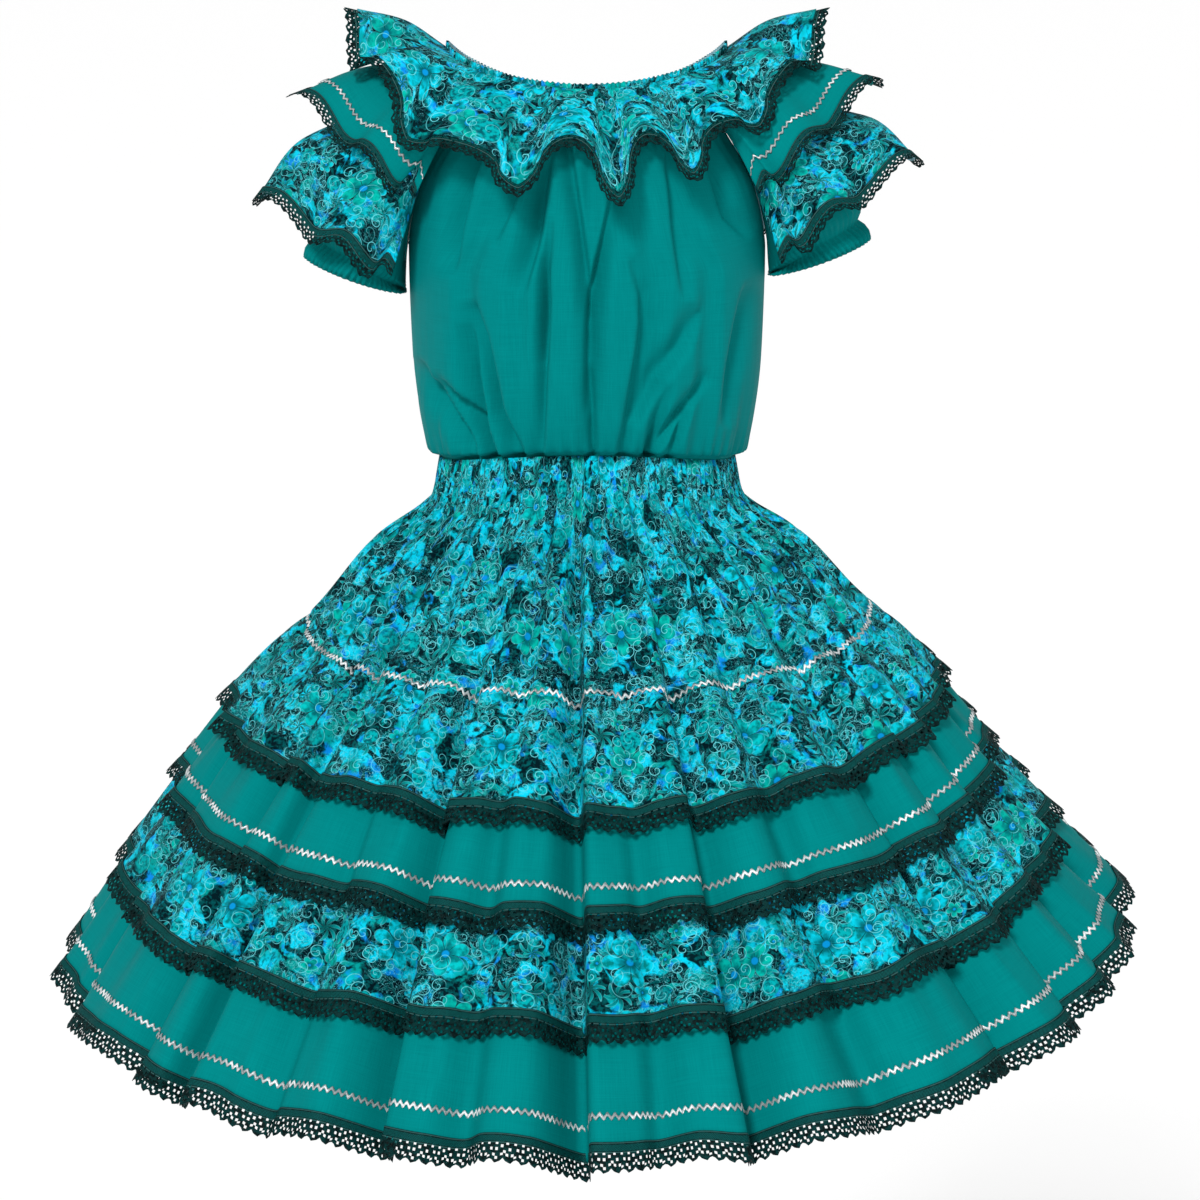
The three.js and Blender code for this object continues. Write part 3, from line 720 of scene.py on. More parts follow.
def skirtPoint(turn, slant, lift):
    def read(column, shift=0.0):
        return softRead(slant + shift, skirt["profile"]["slant"], skirt["profile"][column])

    reach = skirt["slopeReach"]
    widening = read("halfWidth", reach) - read("halfWidth", -reach)
    slope = np.arctan2(widening, read("drop", reach) - read("drop", -reach))
    grown = np.clip((slant - skirt["foldStart"]) / (skirt["hemSlant"] - skirt["foldStart"]), 0, 1.1)
    along = np.maximum(slant, 0) / skirt["hemSlant"]
    sunk = 0
    leant = 0
    for azimuth, depth, half, lean in skirt["valleys"]:
        away = np.abs((np.degrees(turn) - azimuth + 540) % 360 - 180) / half
        valley = skirt["valleyDepth"] * depth * grown * 0.5 * (1 + np.cos(math.pi * np.minimum(away, 1)))
        sunk = sunk + valley
        leant = leant + skirt["valleyLean"] * lean * valley
    ridge = np.sin(math.pi * betweenAzimuths(turn, [row[0] for row in skirt["valleys"]])[1]) ** 2
    count, swing = skirt["broadRipples"]
    out = lift - sunk + skirt["crown"] * ridge * grown + swing * gathers(turn, count, 2.0) * grown
    side = np.sin(turn)
    forward = np.cos(turn)
    hollow = read("hollow") * np.maximum(side, 0) ** 2
    x = (read("halfWidth") + out * np.cos(slope)) * side - hollow + skirt["hemLean"] * along ** 2
    x = x + leant * forward
    y = -(read("halfDepth") + out * np.cos(slope)) * forward + leant * side
    tilt = skirt["hemTilt"] * along ** skirt["tiltPower"] * x * np.abs(side)
    start, end = skirt["riseSlants"]
    shift = skirt["waistRise"] * np.clip((end - slant) / (end - start), 0, 1)
    start, end = skirt["dropSlants"]
    shift = shift - skirt["frontDrop"] * np.clip((slant - start) / (end - start), 0, 1)
    z = skirt["waistZ"] - read("drop") + out * np.sin(slope) + tilt + shift * frontShare(turn)
    return points(x, y, z - skirt["valleyHang"] * sunk)


# Each tier starts under the edge of the tier above and flares out past it. gathers are the fine ones below
# its seam and folds the softer ones that they run into.
tuck = 0.008
flare = 0.0035
stepOut = 0.0020
tiers = [
    {"level": 0, "from": 0.000, "to": 0.200, "gathers": 150, "folds": 46, "finish": "print_cotton",
     "flat": (1.55, 0.205), "columns": 660, "rows": 34},
    {"level": 0, "from": 0.200, "to": 0.299, "gathers": 118, "folds": 47, "finish": "print_cotton",
     "flat": (2.10, 0.104), "columns": 580, "rows": 15},
    {"level": 1, "from": 0.299, "to": 0.380, "gathers": 112, "folds": 43, "finish": "plain_cotton",
     "flat": (2.45, 0.094), "columns": 580, "rows": 14},
    {"level": 2, "from": 0.380, "to": 0.464, "gathers": 121, "folds": 51, "finish": "print_cotton",
     "flat": (2.75, 0.097), "columns": 580, "rows": 14},
    {"level": 3, "from": 0.464, "to": 0.560, "gathers": 117, "folds": 53, "finish": "plain_cotton",
     "flat": (3.10, 0.109), "columns": 580, "rows": 15},
]
tierGathers = {"fine": 0.0013, "fineFade": 0.026, "fold": 0.0032, "foldFade": 0.110, "flutes": 41,
               "flute": 0.0034, "hemCount": 17, "hemWave": 0.0038, "start": 0.010}
shirring = {"height": 0.034, "row": 0.0064, "pucker": 0.0017, "pinch": 0.0015, "past": 0.012, "fade": 0.016,
            "atRows": 0.45, "wander": 0.03, "wanderWaves": 40}
# Where fades start and how long they are, as slants. fineKept is the share of the gathers left at the end.
yoke = {"gathers": 82, "gather": 0.0027, "fineFade": (0.06, 0.11), "fineKept": 0.25, "folds": 44,
        "fold": 0.0040, "foldStart": (0.045, 0.06), "start": 0.020, "pinned": 0.014}


def risen(slant, start, length):
    return ease((slant - start) / length)


def yokeRelief(turn, slant):
    # Elastic rows with puckers between them, then gathers that run together on their way down.
    height = shirring["height"]
    aside = np.abs(np.sin(math.pi * slant / shirring["row"]))
    inBand = ease((height + shirring["past"] - slant) / shirring["fade"])
    wandered = turn + shirring["wander"] * np.sin(shirring["wanderWaves"] * slant)
    pucker = gathers(wandered, tiers[0]["gathers"], 1.0) * blendTo(shirring["atRows"], 1, aside)
    relief = (shirring["pucker"] * pucker - shirring["pinch"] * (1 - aside)) * inBand
    fine = gathers(turn, yoke["gathers"], 4.0) * blendTo(1, yoke["fineKept"], risen(slant, *yoke["fineFade"]))
    broad = gathers(turn, yoke["folds"], 6.0) * risen(slant, *yoke["foldStart"])
    held = risen(slant, height, yoke["start"]) * ease((tiers[0]["to"] - slant) / yoke["pinned"])
    return relief + held * (yoke["gather"] * fine + yoke["fold"] * broad)


def tierRelief(k, turn, slant):
    if k == 0:
        return yokeRelief(turn, slant)
    tier = tiers[k]
    down = np.maximum(slant - tier["from"], 0)
    share = np.clip(down / (tier["to"] - tier["from"]), 0, 1)

    def ripple(size, count, seed, level):
        return tierGathers[size] * (gathers(turn, count, seed + k) + level)

    fine = ripple("fine", tier["gathers"], 3.0, -1) * np.exp(-down / tierGathers["fineFade"])
    fold = ripple("fold", tier["folds"], 5.0, -1) * np.exp(-down / tierGathers["foldFade"])
    started = ease(down / tierGathers["start"]) if k == 1 else 1
    return (fine + fold) * started + ripple("flute", tierGathers["flutes"], 8.0, 1) * share ** 2


def tierLift(k, slant):
    tier = tiers[k]
    share = np.clip((slant - tier["from"]) / (tier["to"] - tuck - tier["from"]), 0, 1)
    return tier["level"] * stepOut + (flare * share if k else 0)


def hemDrift(k, turn):
    return tierGathers["hemWave"] * gathers(turn, tierGathers["hemCount"] + k, 9.0 + k) if k else 0 * turn


def onTier(k, turn, slant, stand):
    # A point on tier k. Its hem wanders a little up and down, and its lace and braid go with it.
    tier = tiers[k]
    drift = hemDrift(k, turn) * np.clip((slant - tier["from"]) / (tier["to"] - tier["from"]), 0, 1) ** 2
    capped = np.minimum(slant, tier["to"])
    return skirtPoint(turn, slant + drift, tierLift(k, slant) + tierRelief(k, turn, capped) + stand)


def turnOf(u):
    return math.pi * (2 * u - 1)


def addTier(k):
    tier = tiers[k]
    top = tier["from"] if k < 2 else tier["from"] - tuck

    def place(u, v):
        return onTier(k, turnOf(u), blendTo(top, tier["to"], v), 0)

    mesh = gridSheet(f"skirtTier{k + 1}", tier["columns"], tier["rows"], place, tier["flat"], True)
    return addPiece(f"skirtTier{k + 1}", f"skirt_tier_{k + 1}", mesh, tier["finish"], skirt["wall"])


skirtTrim = {"lap": 0.0075, "width": 0.0155, "stand": 0.0012, "flare": 0.004, "flareFrom": 0.16,
             "braidStand": 0.0010}
skirtBraids = [(0, 0.1968, "2"), (2, 0.358, "3"), (4, 0.534, "5")]


def addTierLace(k):
    start = tiers[k]["to"] - skirtTrim["lap"]
    end = tiers[k]["to"] + skirtTrim["width"]

    def place(u, v):
        lift = skirtTrim["stand"] + skirtTrim["flare"] * np.maximum(v - skirtTrim["flareFrom"], 0)
        return onTier(k, turnOf(u), blendTo(start, end, v), lift)

    return addLace(f"skirtLace{k + 1}", f"skirt_lace_{k + 1}", end - start, place, True)


def addSkirtBraid(k, slant, number):
    def place(u, aside, lift):
        return onTier(k, turnOf(u), slant + aside, skirtTrim["braidStand"] + lift)

    return addRickrack(f"skirtRickrack{number}", f"skirt_rickrack_{number}", place, True)


sewnOn = {k: [] for k in range(len(tiers))}
for k, slant, number in skirtBraids:
    sewnOn[k].append(addSkirtBraid(k, slant, number))
for k in range(1, len(tiers)):
    sewnOn[k].append(addTierLace(k))
for k, tier in enumerate(tiers):
    addTier(k)
    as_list(sewnOn[k])
print("skirt made")

# ---- neckline ----
neck = {
    "halfWidth": 0.116,
    "frontDepth": 0.097,
    "backDepth": 0.085,
    "shoulderZ": 0.002,
    "frontDip": 0.028,
    "backDip": 0.044,
    "casing": 0.014,
    "casingWall": 0.0020,
    "puckers": 168,
    "pucker": 0.0009,
    "swell": 0.0008,
    "frill": 0.0016,
    "sagPower": 1.5,
    "flat": (1.00, 0.014),
}


def neckPoint(turn, down):
    forward = np.cos(turn)
    depth = np.where(forward > 0, neck["frontDepth"], neck["backDepth"])
    dip = np.where(forward > 0, neck["frontDip"], neck["backDip"])
    z = neck["shoulderZ"] - dip * np.abs(forward) ** neck["sagPower"] - down
    return points(neck["halfWidth"] * np.sin(turn), -depth * forward, z)


def casingPoint(turn, down):
    share = down / neck["casing"]
    pucker = gathers(turn, neck["puckers"], 1.5)
    swell = neck["pucker"] * pucker * (0.5 + 0.5 * np.abs(np.cos(math.pi * share)))
    swell = swell + neck["swell"] * np.sin(math.pi * share)
    top = neck["frill"] * (0.4 + 0.6 * pucker) * ease(1 - 3 * share)
    base = neckPoint(turn, down - np.maximum(top, 0))
    side = np.sin(turn)
    return base + points(side * swell, -np.cos(turn) * swell, 0)


# Lobes where the neck ruffle's hem hangs low: azimuth from the front middle, how low, and how low the arch
# after it is, as shares of the usual wave.
ruffle = {
    "lobes": [
        (-108, 0.9, -0.9), (-73, 0.7, -0.8), (-46, 0.75, -0.25), (-15, 1.25, -1.0), (7, 1.6, -1.1),
        (25, 0.8, -0.9), (46, 0.1, -0.9), (70, 0.4, -0.9), (108, 0.9, -0.9), (127, 1.0, -0.9),
        (146, 0.8, -0.9), (166, 1.1, -1.0), (187, 1.0, -0.9), (208, 1.1, -0.9), (230, 0.9, -0.9),
    ],
    "halfWidth": 0.190,
    "shoulderZ": 0.014,
    "depth": (0.137, 0.124),  # at the front and at the back, as in the next two
    "hemZ": (-0.079, -0.092),
    "hemPower": (4, 2),
    "startDown": 0.003,
    "arch": 0.009,
    "archAtFront": 0.3,
    "fade": 9,
    "lobeOut": 0.013,
    "lobeDown": 0.0165,
    "lobeShare": 0.66,
    "roundness": 0.6,
    "offCasing": 0.0020,
    "laceLap": 0.0050,
    "laceWidth": 0.0115,
    "laceStand": 0.0012,
    "square": 0.3,
    "gathers": 96,
    "gather": 0.0012,
    "wall": 0.0006,
    "flat": (1.00, 0.078),
    "columns": 380,
    "rows": 24,
}
# Down a ruffle's fall: how much of its hem's wave it has, and how far it bows out.
fallShape = {"fall": [0, 0.45, 1, 1.3], "wave": [0, 0.33, 1, 1.35], "arch": [0, 1, 0, -0.5]}


def readFall(fall, column):
    return softRead(fall, fallShape["fall"], fallShape[column])


def lobeWave(turn):
    rows = np.array(ruffle["lobes"] + [ruffle["lobes"][0]])
    k, share = betweenAzimuths(turn, rows[:-1, 0])
    low = np.where(share < 0.5, rows[k, 1], rows[k + 1, 1])
    swing = np.cos(math.pi * (1 - np.abs(2 * share - 1)) ** ruffle["lobeShare"])
    return blendTo(rows[k, 2], low, 0.5 + 0.5 * np.sign(swing) * np.abs(swing) ** ruffle["roundness"])


def rufflePoint(turn, fall):
    side = np.sin(turn)
    forward = np.cos(turn)
    depth, low, power = [np.where(forward > 0, *ruffle[key]) for key in ("depth", "hemZ", "hemPower")]
    start = neckPoint(turn, ruffle["startDown"])
    start = start + points(ruffle["offCasing"] * side, -ruffle["offCasing"] * forward, 0)
    hemZ = blendTo(low, ruffle["shoulderZ"], np.abs(side) ** power)
    hem = points(ruffle["halfWidth"] * side, -depth * forward, hemZ)
    wave = lobeWave(turn) * readFall(fall, "wave")
    arch = ruffle["arch"] * blendTo(ruffle["archAtFront"], 1, side * side) * readFall(fall, "arch")
    fine = (gathers(turn, ruffle["gathers"], 2.5) + 1) * np.exp(-ruffle["fade"] * fall)
    swing = ruffle["lobeOut"] * wave + ruffle["gather"] * fine
    moved = points(swing * side * np.abs(forward), -swing * forward, arch - ruffle["lobeDown"] * wave)
    return blendTo(start, hem, np.asarray(fall)[..., None]) + moved


def squareToHem(surface, u, past, lift, square):
    # past is the way beyond the hem, along the fall or, as far as square says, across the hem's line.
    v = 1 + 0 * u
    hem = surface(u, v)
    aside = unit(surface(u + probe, v) - surface(u - probe, v))
    fall = unit(hem - surface(u, v - 0.03))
    out = unit(np.cross(fall, aside))
    way = unit(blendTo(fall, unit(np.cross(aside, out)), square))
    return hem + way * np.asarray(past)[..., None] - out * lift


def addNeck():
    def casing(u, v):
        return casingPoint(turnOf(u), neck["casing"] * v)

    mesh = gridSheet("neckCasing", 4 * neck["puckers"], 6, casing, neck["flat"], True)
    band = addPiece("neckCasing", "neck_casing", mesh, "print_cotton", neck["casingWall"])

    def fallen(u, v):
        return rufflePoint(turnOf(u), v)

    mesh = gridSheet("neckRuffle", ruffle["columns"], ruffle["rows"], fallen, ruffle["flat"], True)
    frill = addPiece("neckRuffle", "neck_ruffle", mesh, "print_cotton", ruffle["wall"])

    def laced(u, v):
        past = blendTo(-ruffle["laceLap"], ruffle["laceWidth"], v)
        return squareToHem(fallen, u, past, ruffle["laceStand"], ruffle["square"])

    trim = addLace("neckLace", "neck_lace", ruffle["laceLap"] + ruffle["laceWidth"], laced, True)


addNeck()
print("neckline made")

# ---- blouse body ----
# Ten rows from the neck down, and the last six are level. A row's points lie on an ellipse of halfWidth and
# depth, out to the angle reach. rise is the share of the waist's rise at the front that the row takes.
# Gathers: where across the piece, depth, width, and the row they start from. Creases, seen from the front,
# in millimetres: half width, depth, and the points x, z that each runs through.
levelZ = [-0.184, -0.262, -0.322, -0.342, -0.346, -0.360]
bodyShape = {
    "halfWidth": [0.116, 0.136, 0.148, 0.151, 0.151, 0.149, 0.1415, 0.136, 0.1266, 0.1266],
    "reach": [48, 58, 68, 78] + 6 * [89.82],
    "flat": (0.46, 0.33),
}
frontBody = {
    **bodyShape,
    "facing": -1,
    "middleZ": [-0.0406, -0.075, -0.112, -0.150] + levelZ,
    "edgeZ": [-0.028, -0.070, -0.110, -0.149] + levelZ,
    "depth": [0.097, 0.113, 0.122, 0.127, 0.128, 0.124, 0.114, 0.105, 0.0926, 0.0926],
    "rise": [0, 0, 0, 0, 0, 0.4, 0.85, 1, 1, 1],
    "columnsAcross": 200,
    "gathers": [(-0.74, 0.004, 0.08, 5), (-0.46, 0.006, 0.08, 1), (-0.24, 0.005, 0.07, 0),
                (0.02, 0.008, 0.08, 0), (0.25, 0.005, 0.07, 1), (0.47, 0.005, 0.08, 0),
                (0.75, 0.004, 0.08, 5)],
    "creases": [
        (9, 4.6, [(-20, -40), (-14, -75), (-6, -130), (1, -180), (2, -214)]),
        (8, 4, [(-28, -130), (-32, -172), (-34, -214), (-36, -250)]),
        (9, 5.2, [(-35, -160), (-32, -195), (-36, -270), (-39, -345)]),
        (-9, 5, [(26, -80), (22, -109), (13, -153), (6, -182), (2, -214), (0, -290)]),
        (6, 3.2, [(4, -250), (6, -290), (6, -345)]),
        (-11, 5, [(36, -160), (46, -190), (47, -214), (44, -240), (37, -284), (24, -345)]),
        (-13, 4.6, [(68, -60), (70, -93), (74, -137), (82, -195)]),
        (14, 5.2, [(94, -205), (80, -236), (60, -262), (40, -300)]),
        (8, 4.6, [(106, -262), (92, -278), (74, -300), (46, -345)]),
        (6, 3.8, [(88, -286), (80, -306), (66, -345)]),
        (7, 4, [(70, -268), (62, -300), (50, -345)]),
        (12, 8.6, [(-96, -200), (-86, -228), (-79, -264), (-74, -290), (-50, -345)]),
        (9, 6.4, [(-103, -220), (-98, -264), (-90, -300), (-76, -345)]),
        (11, 7.6, [(-128, -268), (-106, -290), (-92, -310), (-72, -345)]),
        (11, 7.4, [(-142, -258), (-127, -288), (-108, -314), (-94, -345)]),
        (12, 6.4, [(-80, -60), (-96, -100), (-106, -140), (-112, -180)]),
        (12, 5.4, [(-48, -70), (-60, -110), (-76, -150)]),
        (12, 5.4, [(-30, -80), (-40, -140), (-54, -190)]),
        (-10, 4.4, [(92, -60), (103, -96), (114, -130), (134, -152)]),
        (-12, 4.6, [(134, -190), (126, -230), (121, -260), (116, -310)]),
    ],
}
backBody = {
    **bodyShape,
    "facing": 1,
    "middleZ": [-0.0569, -0.086, -0.118, -0.150] + levelZ,
    "edgeZ": [-0.0369, -0.074, -0.111, -0.149] + levelZ,
    "depth": [0.085, 0.096, 0.103, 0.107, 0.108, 0.105, 0.102, 0.099, 0.0926, 0.0926],
    "rise": 10 * [0],
    "columnsAcross": 116,
    "gathers": [(-0.76, 0.004, 0.08, 3), (-0.5, 0.006, 0.08, 0), (-0.26, 0.005, 0.08, 1),
                (0.01, 0.007, 0.08, 0), (0.28, 0.005, 0.08, 1), (0.52, 0.006, 0.08, 0),
                (0.77, 0.004, 0.08, 3)],
    "creases": [
        (12, 4.6, [(-50, -80), (-46, -170), (-40, -270)]),
        (10, 4.8, [(-12, -70), (-4, -180), (4, -300)]),
        (-11, 4.4, [(32, -85), (34, -180), (26, -260)]),
        (-13, 4.4, [(70, -90), (80, -150), (88, -220)]),
        (13, 4.4, [(-84, -95), (-92, -160), (-98, -230)]),
        (10, 5, [(-128, -262), (-106, -300), (-84, -345)]),
        (9, 4.6, [(-80, -240), (-70, -300), (-54, -345)]),
        (9, 4.2, [(-36, -230), (-30, -290), (-28, -345)]),
        (-9, 4.4, [(40, -240), (34, -300), (24, -345)]),
        (-10, 4.8, [(96, -236), (82, -290), (58, -345)]),
        (-10, 5, [(130, -262), (112, -300), (90, -345)]),
    ],
}
bodyCloth = {"creaseDepth": 0.0025, "creaseEnds": 0.6, "creaseFade": 1.2, "steepSide": 3.0, "rowsDown": 76,
             "wall": 0.0006, "neckGathers": 26, "neckGather": 0.0018, "neckFade": 0.8, "waistGathers": 34,
             "waistGather": 0.0022, "waistFade": 0.7, "seamed": 0.06, "closerAtMiddle": 0.25}


def creaseShare(x, z, half, line):
    # 1 along the middle of the line, fading to each side, and sooner on its steep side: to the right as the
    # line goes down, or to the left where half is negative.
    stops = np.array(line)
    lengths = np.hypot(*np.diff(stops, axis=0).T)
    nearest = np.full(np.shape(x), np.inf)
    aside = np.zeros(np.shape(x))
    along = np.zeros(np.shape(x))
    for k, length in enumerate(lengths):
        across, down = (stops[k + 1] - stops[k]) / length
        reached = np.clip((x - stops[k][0]) * across + (z - stops[k][1]) * down, 0, length)
        offX = x - stops[k][0] - reached * across
        offZ = z - stops[k][1] - reached * down
        away = np.hypot(offX, offZ)
        closer = away < nearest
        nearest = np.where(closer, away, nearest)
        aside = np.where(closer, np.where(offX * down - offZ * across < 0, away, -away), aside)
        along = np.where(closer, (lengths[:k].sum() + reached) / lengths.sum(), along)
    aside = aside / half
    steep = np.where(aside > 0, bodyCloth["steepSide"], 1.0)
    across = np.exp(-bodyCloth["creaseFade"] * (aside * steep) ** 2)
    return np.sin(math.pi * along) ** bodyCloth["creaseEnds"] * across


def bodyPoint(body, across, row):
    cloth = bodyCloth

    def read(column):
        return softRead(row, range(10), body[column])

    sunk = 0
    for at, depth, wide, fromRow in body["gathers"]:
        away = np.minimum(np.abs(across - at) / wide, 1)
        share = np.clip((row - fromRow) / (8 - fromRow), 0, 1)
        sunk = sunk + depth * np.sin(math.pi * share) * 0.5 * (1 + np.cos(math.pi * away))
    turn = np.radians(read("reach") * across)
    x = read("halfWidth") * np.sin(turn) * -body["facing"]
    z = blendTo(read("middleZ"), read("edgeZ"), across ** 2)
    z = z + skirt["waistRise"] * read("rise") * frontShare(turn)
    for half, depth, line in body["creases"]:
        sunk = sunk + cloth["creaseDepth"] * depth * creaseShare(1000 * x, 1000 * z, half, line)
    swell = cloth["neckGather"] * (gathers(math.pi * across, cloth["neckGathers"], 3.3) - 1)
    swell = swell * np.exp(-np.maximum(row, 0) / cloth["neckFade"])
    waist = cloth["waistGather"] * gathers(math.pi * across, cloth["waistGathers"], 5.5)
    swell = swell + waist * np.exp(-np.abs(row - 7) / cloth["waistFade"]) * ease((8 - row) / 0.6)
    inward = (sunk - swell) * ease((1 - np.abs(across)) / cloth["seamed"])
    return points(x - inward * np.sin(turn) * -body["facing"],
                  body["facing"] * (read("depth") - inward) * np.cos(turn), z)


def addBody(name, node, body):
    steps = np.hypot(np.diff(body["middleZ"]), np.diff(body["depth"]))
    reached = np.concatenate([[0], np.cumsum(steps)]) / steps.sum()

    def place(u, v):
        across = 2 * u - 1
        across = across * blendTo(1, across ** 2, bodyCloth["closerAtMiddle"])
        return bodyPoint(body, across, np.interp(v, reached, range(10)))

    mesh = gridSheet(name, body["columnsAcross"], bodyCloth["rowsDown"], place, body["flat"])
    panel = addPiece(name, node, mesh, "plain_cotton", bodyCloth["wall"])


addBody("bodiceFront", "bodice_front", frontBody)
addBody("bodiceBack", "bodice_back", backBody)
print("blouse body made")

# ---- sleeves ----
sleeve = {
    "cuffX": 0.197,
    "cuffZ": -0.185,
    "cuffHalf": 0.045,
    "lean": 20,
    "puff": 0.034,
    "axisStart": (0.128, 0, -0.095),
    "seamPoints": 6,
    "casingPoints": 9,
    "armholeLap": 0.0029,
    "cuffPuckers": 52,
    "cuffPucker": 0.0024,
    "elasticAt": 0.91,
    "pinch": 0.0080,
    "pinchHalf": 0.03,
    "puckersFrom": (0.78, 0.12),
    "topPower": 1.3,
    "puffPower": 0.85,
    "wall": 0.0006,
    "columns": 208,
    "rows": 34,
    "flat": (0.36, 0.180),
}
sleeveRuffles = [
    {
        "name": "upper", "finish": "plain_cotton", "length": 0.118, "raiseShare": 0.7,
        "bow": (0.009, 0.010), "seam": (0.03, 0.05), "columns": (5, 16),
        "hem": [(0.138, -0.084, -0.112), (0.160, -0.091, -0.092), (0.202, -0.060, -0.057), (0.240, 0, -0.031),
                (0.202, 0.060, -0.056), (0.160, 0.088, -0.090), (0.138, 0.082, -0.108)],
        "flat": (0.34, 0.100),
    },
    {
        "name": "lower", "finish": "print_cotton", "length": 0.100, "raiseShare": 2,
        "bow": (0.002, 0.013), "seam": (0.03, 0.42), "columns": (3.4, 17.6),
        "hem": [(0.158, -0.074, -0.172), (0.182, -0.080, -0.155), (0.228, -0.057, -0.128), (0.275, 0, -0.106),
                (0.228, 0.057, -0.127), (0.180, 0.080, -0.151), (0.154, 0.074, -0.168)],
        "flat": (0.34, 0.100),
    },
]
ruffleTrim = {"braidAbove": 0.0258, "waves": 5.5, "swing": 0.007, "stand": 0.0012, "braidStand": 0.0010,
              "columns": 150, "rows": 20, "flutes": 9, "flute": 0.004, "gathers": 44, "gather": 0.0010,
              "fade": 7, "start": 0.00225, "topPower": 0.8}


def armholeLoop():
    loop = []
    for k in range(sleeve["seamPoints"]):
        loop.append(bodyPoint(frontBody, np.array(1.0), np.array(4 * (1 - k / sleeve["seamPoints"]))))
    for k in range(sleeve["casingPoints"] + 1):
        azimuth = blendTo(48, 132, k / sleeve["casingPoints"])
        loop.append(neckPoint(np.radians(azimuth), neck["casing"] + 0.0005))
    for k in range(1, sleeve["seamPoints"]):
        loop.append(bodyPoint(backBody, np.array(-1.0), np.array(4 * k / sleeve["seamPoints"])))
    return np.array([spot.reshape(3) for spot in loop])


armhole = armholeLoop()
ringSize = len(armhole)
armholeKeys = np.arange(-3, ringSize + 4)
armholeWrapped = armhole[armholeKeys % ringSize]


def throughPoints(at, keys, stops):
    return np.stack([softRead(at, keys, stops[:, axis]) for axis in range(3)], axis=-1)


def awayFromAxis(placed, share, cuffRaise):
    middle = np.array([sleeve["cuffX"], 0, sleeve["cuffZ"] + cuffRaise])
    start = np.array(sleeve["axisStart"])
    axis = unit(middle - start)
    away = placed - blendTo(start, middle, np.asarray(share)[..., None])
    return unit(away - (away @ axis)[..., None] * axis)


def sleevePoint(c, share, cuffRaise):
    # c counts points round the armhole from the underarm by the front, share is 0 there and 1 at the cuff.
    c = c % ringSize
    start = throughPoints(c, armholeKeys, armholeWrapped)
    start = start + unit(start * np.array([1, 1, 0])) * sleeve["armholeLap"]
    turn = math.pi - 2 * math.pi * c / ringSize
    lean = math.radians(sleeve["lean"])
    pucker = sleeve["cuffPucker"] * gathers(turn, sleeve["cuffPuckers"], 2.2)
    drawnIn = sleeve["pinch"] * np.exp(-((share - sleeve["elasticAt"]) / sleeve["pinchHalf"]) ** 2)
    near = risen(share, *sleeve["puckersFrom"])
    half = sleeve["cuffHalf"] - drawnIn + pucker * near * (1 - 0.5 * drawnIn / sleeve["pinch"])
    across = half * np.cos(turn)
    deep = half * np.sin(turn)
    rim = points(sleeve["cuffX"] + across * math.cos(lean), -deep,
                 sleeve["cuffZ"] + cuffRaise + across * math.sin(lean))
    placed = blendTo(start, rim, np.asarray(share)[..., None])
    onTop = 0.5 - 0.5 * np.cos(2 * math.pi * c / ringSize)
    bowed = np.sin(math.pi * np.maximum(share, 0) ** sleeve["puffPower"])
    swell = sleeve["puff"] * onTop ** sleeve["topPower"] * bowed
    return placed + awayFromAxis(placed, share, cuffRaise) * swell[..., None]


def sleeveNormal(c, share, cuffRaise):
    along = sleevePoint(c + 0.2, share, cuffRaise) - sleevePoint(c - 0.2, share, cuffRaise)
    down = sleevePoint(c, share + 0.02, cuffRaise) - sleevePoint(c, share - 0.02, cuffRaise)
    return unit(np.cross(down, along))


def sleeveRufflePoint(trim, cuffRaise, along, fall, seed):
    inside = np.clip(along, 0, 1)
    onTop = np.sin(math.pi * inside) ** ruffleTrim["topPower"]
    c = blendTo(*trim["columns"], along)
    share = blendTo(*trim["seam"], onTop)
    start = sleevePoint(c, share, cuffRaise)
    away = awayFromAxis(start, share, cuffRaise)
    start = start + sleeveNormal(c, share, cuffRaise) * ruffleTrim["start"]
    hem = np.array(trim["hem"])
    end = throughPoints(inside, np.linspace(0, 1, len(hem)), hem)
    end = end + points(0, 0, cuffRaise * trim["raiseShare"] * (0.3 + 0.7 * onTop))
    waved = readFall(fall, "wave")
    swell = blendTo(*trim["bow"], onTop) * readFall(fall, "arch")
    swell = swell + ruffleTrim["flute"] * gathers(math.pi * along, ruffleTrim["flutes"], seed) * waved
    fine = gathers(math.pi * along, ruffleTrim["gathers"], seed + 1) + 1
    swell = swell + ruffleTrim["gather"] * fine * np.exp(-ruffleTrim["fade"] * np.maximum(fall, 0))
    placed = blendTo(start, end, np.asarray(fall)[..., None]) + away * swell[..., None]
    wave = ruffleTrim["swing"] * np.sin(2 * math.pi * ruffleTrim["waves"] * along)
    return placed + points(0, 0, wave * waved)


def mirrored(surface, side):
    # The other sleeve is the mirror image, with its columns the other way so that its outside stays out.
    if side > 0:
        return surface
    return lambda u, v: surface(1 - u, v) * np.array([-1, 1, 1])


def addSleeve(suffix, side, cuffRaise):
    title = suffix.capitalize()

    def tube(u, v):
        return sleevePoint(u * ringSize, v, cuffRaise)

    name = f"sleeve{title}"
    mesh = gridSheet(name, sleeve["columns"], sleeve["rows"], mirrored(tube, side), sleeve["flat"], True)
    made = addPiece(name, f"sleeve_{suffix}", mesh, "plain_cotton", sleeve["wall"])
    for number, trim in enumerate(sleeveRuffles):
        addSleeveRuffle(suffix, side, cuffRaise, trim, 1.0 + number + 0.7 * side)


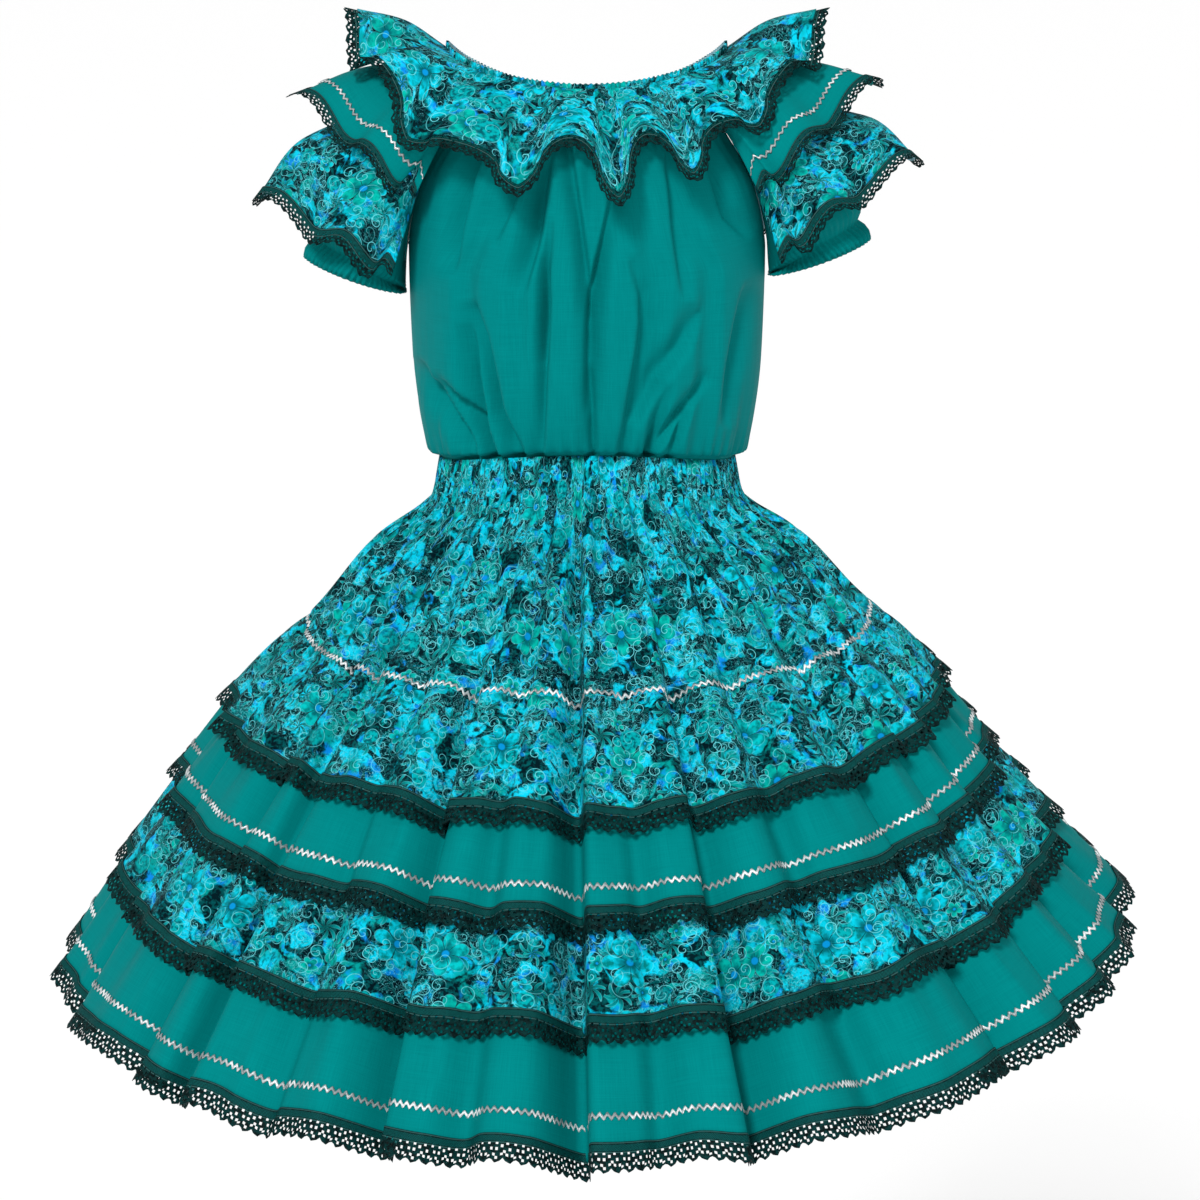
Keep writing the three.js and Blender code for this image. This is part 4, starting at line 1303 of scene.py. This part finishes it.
def addSleeveRuffle(suffix, side, cuffRaise, trim, seed):
    title = suffix.capitalize()
    kind = trim["name"].capitalize()
    surface = mirrored(lambda u, v: sleeveRufflePoint(trim, cuffRaise, u, v, seed), side)
    name = f"sleeveRuffle{kind}{title}"
    mesh = gridSheet(name, ruffleTrim["columns"], ruffleTrim["rows"], surface, trim["flat"])
    cloth = addPiece(name, f"sleeve_ruffle_{trim['name']}_{suffix}", mesh, trim["finish"], sleeve["wall"])
    start = 1 - ruffle["laceLap"] / trim["length"]
    end = 1 + ruffle["laceWidth"] / trim["length"]

    def laced(u, v):
        return offSurface(surface, u, blendTo(start, end, v), ruffleTrim["stand"] + 0 * u)

    def braided(u, aside, lift):
        down = 1 - (ruffleTrim["braidAbove"] - aside) / trim["length"]
        return offSurface(surface, u, down, ruffleTrim["braidStand"] + lift)

    sewn = [addLace(f"sleeveLace{kind}{title}", f"sleeve_lace_{trim['name']}_{suffix}",
                    ruffle["laceLap"] + ruffle["laceWidth"], laced, False)]
    if trim["finish"] == "plain_cotton":
        sewn.append(addRickrack(f"sleeveRickrack{title}", f"sleeve_rickrack_{suffix}", braided, False))


addSleeve("left", 1, 0.009)
addSleeve("right", -1, -0.006)
print("sleeves made")

# ---- floor and light ----
studio = {
    "floorZ": -3.2,
    "floorSize": 400,
    "floorSettings": {"Base Color": (1, 1, 1, 1), "Roughness": 0.9},
    "world": (1, 1, 1, 1),
    "worldStrength": 0.43,
    "suns": [
        {"name": "key", "towards": (-0.24, -0.73, 0.62), "soft": 0.22, "strength": 2.75},
        {"name": "fill", "towards": (0.75, -0.62, 0.25), "soft": 0.9, "strength": 0.6},
    ],
}


def addStudio():
    bm = bmesh.new()
    bmesh.ops.create_grid(bm, x_segments=8, y_segments=8, size=studio["floorSize"] / 2)
    mesh = bpy.data.meshes.new("floor")
    bm.to_mesh(mesh)
    bm.free()
    mesh.transform(Matrix.Translation((0, 0, studio["floorZ"])))
    mesh.materials.append(newFinish("paleFloor", studio["floorSettings"])[0])
    addObject("floor", mesh)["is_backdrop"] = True
    world = bpy.data.worlds.new("studio")
    world.use_nodes = True
    background = world.node_tree.nodes["Background"]
    background.inputs["Color"].default_value = studio["world"]
    background.inputs["Strength"].default_value = studio["worldStrength"]
    bpy.context.scene.world = world
    for lamp in studio["suns"]:
        data = bpy.data.lights.new(lamp["name"], "SUN")
        data.energy = lamp["strength"]
        data.angle = lamp["soft"]
        light = addObject(lamp["name"], data)
        light.rotation_euler = Vector(lamp["towards"]).to_track_quat("Z", "Y").to_euler()


addStudio()
bpy.context.scene.view_settings.view_transform = "Standard"
print("studio made")

corners = {"cad": cadBox, "visual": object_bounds()}
{key: [list(corner) for corner in box] for key, box in corners.items()}
